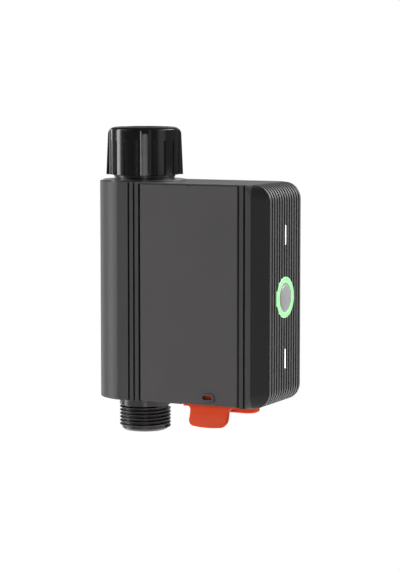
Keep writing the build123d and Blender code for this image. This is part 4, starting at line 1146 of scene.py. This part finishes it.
@dataclass
class PolarityMarks:
    """Raised plus and minus marks on the tray's closed sides."""

    finishes: Finishes
    arm: float = 0.0022
    width: float = 0.0007
    rise: float = 0.0002
    below_top: float = 0.006
    above_foot: float = 0.008
    column_shares: tuple[float, float] = (0.3, 0.7)

    def build(self) -> bpy.types.Object:
        """Builds the marks near the tray's top and foot.

        Returns:
            The piece.
        """
        low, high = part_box("battery_tray")
        top, foot = high.z - self.below_top, low.z + self.above_foot
        mesh = bmesh.new()
        for side, face in ((-1, low.y), (1, high.y)):
            for column, share in zip((-1, 1), self.column_shares):
                x = low.x + (high.x - low.x) * share
                plus_z, minus_z = (top, foot) if side * column > 0 else (foot, top)
                self._bar(mesh, Vector((x, face, plus_z)), self.arm, self.width, side)
                self._bar(mesh, Vector((x, face, plus_z)), self.width, self.arm, side)
                self._bar(mesh, Vector((x, face, minus_z)), self.arm, self.width, side)
        data = bpy.data.meshes.new("polarity_marks")
        mesh.to_mesh(data)
        mesh.free()
        data.materials.append(self.finishes.by_slot["white_plastic"])
        piece = bpy.data.objects.new("polarity_marks", data)
        bpy.context.scene.collection.objects.link(piece)
        place_on(piece, "tray")
        return piece

    def _bar(
        self, mesh: bmesh.types.BMesh, place: Vector, wide: float, tall: float, side: int
    ) -> None:
        """Adds one flat bar that stands out of the tray's side.

        Args:
            mesh: The mesh that takes the bar.
            place: The bar's middle on the tray's side.
            wide: The bar's width.
            tall: The bar's height.
            side: Which way the tray's side faces along Y.
        """
        middle = Matrix.Translation(place + Vector((0.0, side * self.rise / 2, 0.0)))
        shape = Matrix.Diagonal((wide, self.rise, tall, 1.0))
        bmesh.ops.create_cube(mesh, size=1.0, matrix=middle @ shape)


@dataclass(frozen=True)
class SoftBox:
    """A soft box on a stand, turned to the valve."""

    name: str
    azimuth: float
    distance: float
    height: float
    width: float
    tall: float
    glow: float

    def build(self, aim: Vector) -> None:
        """Hangs the box and sets its power from the glow of its face.

        Args:
            aim: The point that it faces.
        """
        data = bpy.data.lights.new(self.name, "AREA")
        data.shape = "RECTANGLE"
        data.size = self.width
        data.size_y = self.tall
        data.energy = self.glow * math.pi * self.width * self.tall
        lamp = bpy.data.objects.new(self.name, data)
        turn = math.radians(self.azimuth)
        x, y = self.distance * math.cos(turn), self.distance * math.sin(turn)
        lamp.location = aim + Vector((x, y, self.height))
        lamp.rotation_euler = (aim - lamp.location).to_track_quat("-Z", "Y").to_euler()
        bpy.context.scene.collection.objects.link(lamp)
        LOG.info("hung %s", self.name)


# Each box's name, azimuth in degrees from +X, distance, height, width, height of its face
# and glow of its face.
SOFT_BOXES = (
    SoftBox("left_box", -150.0, 1.15, 0.75, 0.9, 0.7, 7.0),
    SoftBox("left_strip", -160.0, 1.25, 0.0, 0.3, 1.4, 6.0),
    SoftBox("right_box", 38.0, 1.0, 0.8, 0.8, 0.8, 23.0),
    SoftBox("right_strip", -4.0, 1.3, 0.0, 0.6, 1.4, 0.5),
    SoftBox("front_strip", -63.0, 1.45, 0.0, 0.3, 1.2, 2.4),
    SoftBox("back_box", 112.0, 1.7, -0.1, 0.9, 1.3, 0.6),
    SoftBox("back_strip", 152.0, 1.4, 0.0, 0.3, 1.4, 2.0),
)


@dataclass
class Stage:
    """Floor, light and camera, set as a product photographer would."""

    eye: Vector = field(default_factory=lambda: Vector((0.5001, -0.9507, 0.0396)))
    look: Vector = field(default_factory=lambda: Vector((-0.4398, 0.8925, -0.0998)))
    aim: Vector = field(default_factory=lambda: Vector((0.02, 0.0, -0.06)))
    focal_px: float = 2090.5
    sensor_height_mm: float = 36.0
    nearest: float = 0.01
    floor_z: float = -0.46
    floor_half: float = 8.0
    floor_cells: int = 4
    floor_colour: Colour = (0.82, 0.82, 0.82)
    floor_roughness: float = 0.8
    air_colour: Colour = (0.5, 0.5, 0.52)
    air_strength: float = 0.12
    boxes: tuple[SoftBox, ...] = SOFT_BOXES

    def build(self) -> None:
        """Builds the whole stage."""
        self._camera()
        self._floor()
        self._world()
        for box in self.boxes:
            box.build(self.aim)

    def _camera(self) -> None:
        """Places the camera that was fitted to the photograph."""
        data = bpy.data.cameras.new("camera")
        data.sensor_fit = "VERTICAL"
        data.sensor_height = self.sensor_height_mm
        data.lens = self.focal_px / PICTURE_HEIGHT_PX * data.sensor_height
        data.clip_start = self.nearest
        camera = bpy.data.objects.new("camera", data)
        camera.location = self.eye
        camera.rotation_euler = self.look.to_track_quat("-Z", "Y").to_euler()
        bpy.context.scene.collection.objects.link(camera)
        bpy.context.scene.camera = camera

    def _floor(self) -> None:
        """Makes the pale floor, which the camera sees as plain white."""
        mesh = bmesh.new()
        bmesh.ops.create_grid(
            mesh,
            x_segments=self.floor_cells,
            y_segments=self.floor_cells,
            size=self.floor_half,
            matrix=Matrix.Translation((0.0, 0.0, self.floor_z)),
        )
        data = bpy.data.meshes.new("floor")
        mesh.to_mesh(data)
        mesh.free()
        floor = bpy.data.objects.new("floor", data)
        graph = Graph("floor_paint")
        graph.set(Base_Color=self.floor_colour, Roughness=self.floor_roughness)
        seen = graph.add("ShaderNodeLightPath", out="Is Camera Ray")
        white = graph.add("ShaderNodeEmission", None, {"Color": WHITE, "Strength": 1.0})
        paint = Wire(graph, graph.shader.outputs[0])
        mix = graph.add("ShaderNodeMixShader", None, {0: seen, 1: paint, 2: white})
        data.materials.append(graph.finish(mix))
        bpy.context.scene.collection.objects.link(floor)

    def _world(self) -> None:
        """Makes the world white to the camera and a soft grey to the object."""
        world = bpy.data.worlds.new("studio")
        world.use_nodes = True
        maker = NodeMaker(world.node_tree)
        seen = maker.add("ShaderNodeLightPath", out="Is Camera Ray")
        inputs = {"Color": self.air_colour, "Strength": self.air_strength}
        air = maker.add("ShaderNodeBackground", None, inputs)
        white = maker.add("ShaderNodeBackground", None, {"Color": WHITE})
        mix = maker.add("ShaderNodeMixShader", None, {0: seen, 1: air, 2: white})
        maker.end("ShaderNodeOutputWorld", mix)
        bpy.context.scene.world = world


def main() -> None:
    """Builds the scene in order."""
    logging.basicConfig(level=logging.INFO, format="%(message)s")
    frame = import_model()
    scene = bpy.context.scene
    scene.view_settings.view_transform = "Standard"
    Stage().build()
    finishes = Finishes()
    finishes.dress(frame["record"], frame["nodes"])
    BoardParts(finishes).build()
    TrayCoils(finishes).build()
    ConnectorPins(finishes).build()
    PolarityMarks(finishes).build()


if __name__ == "__main__":
    main()
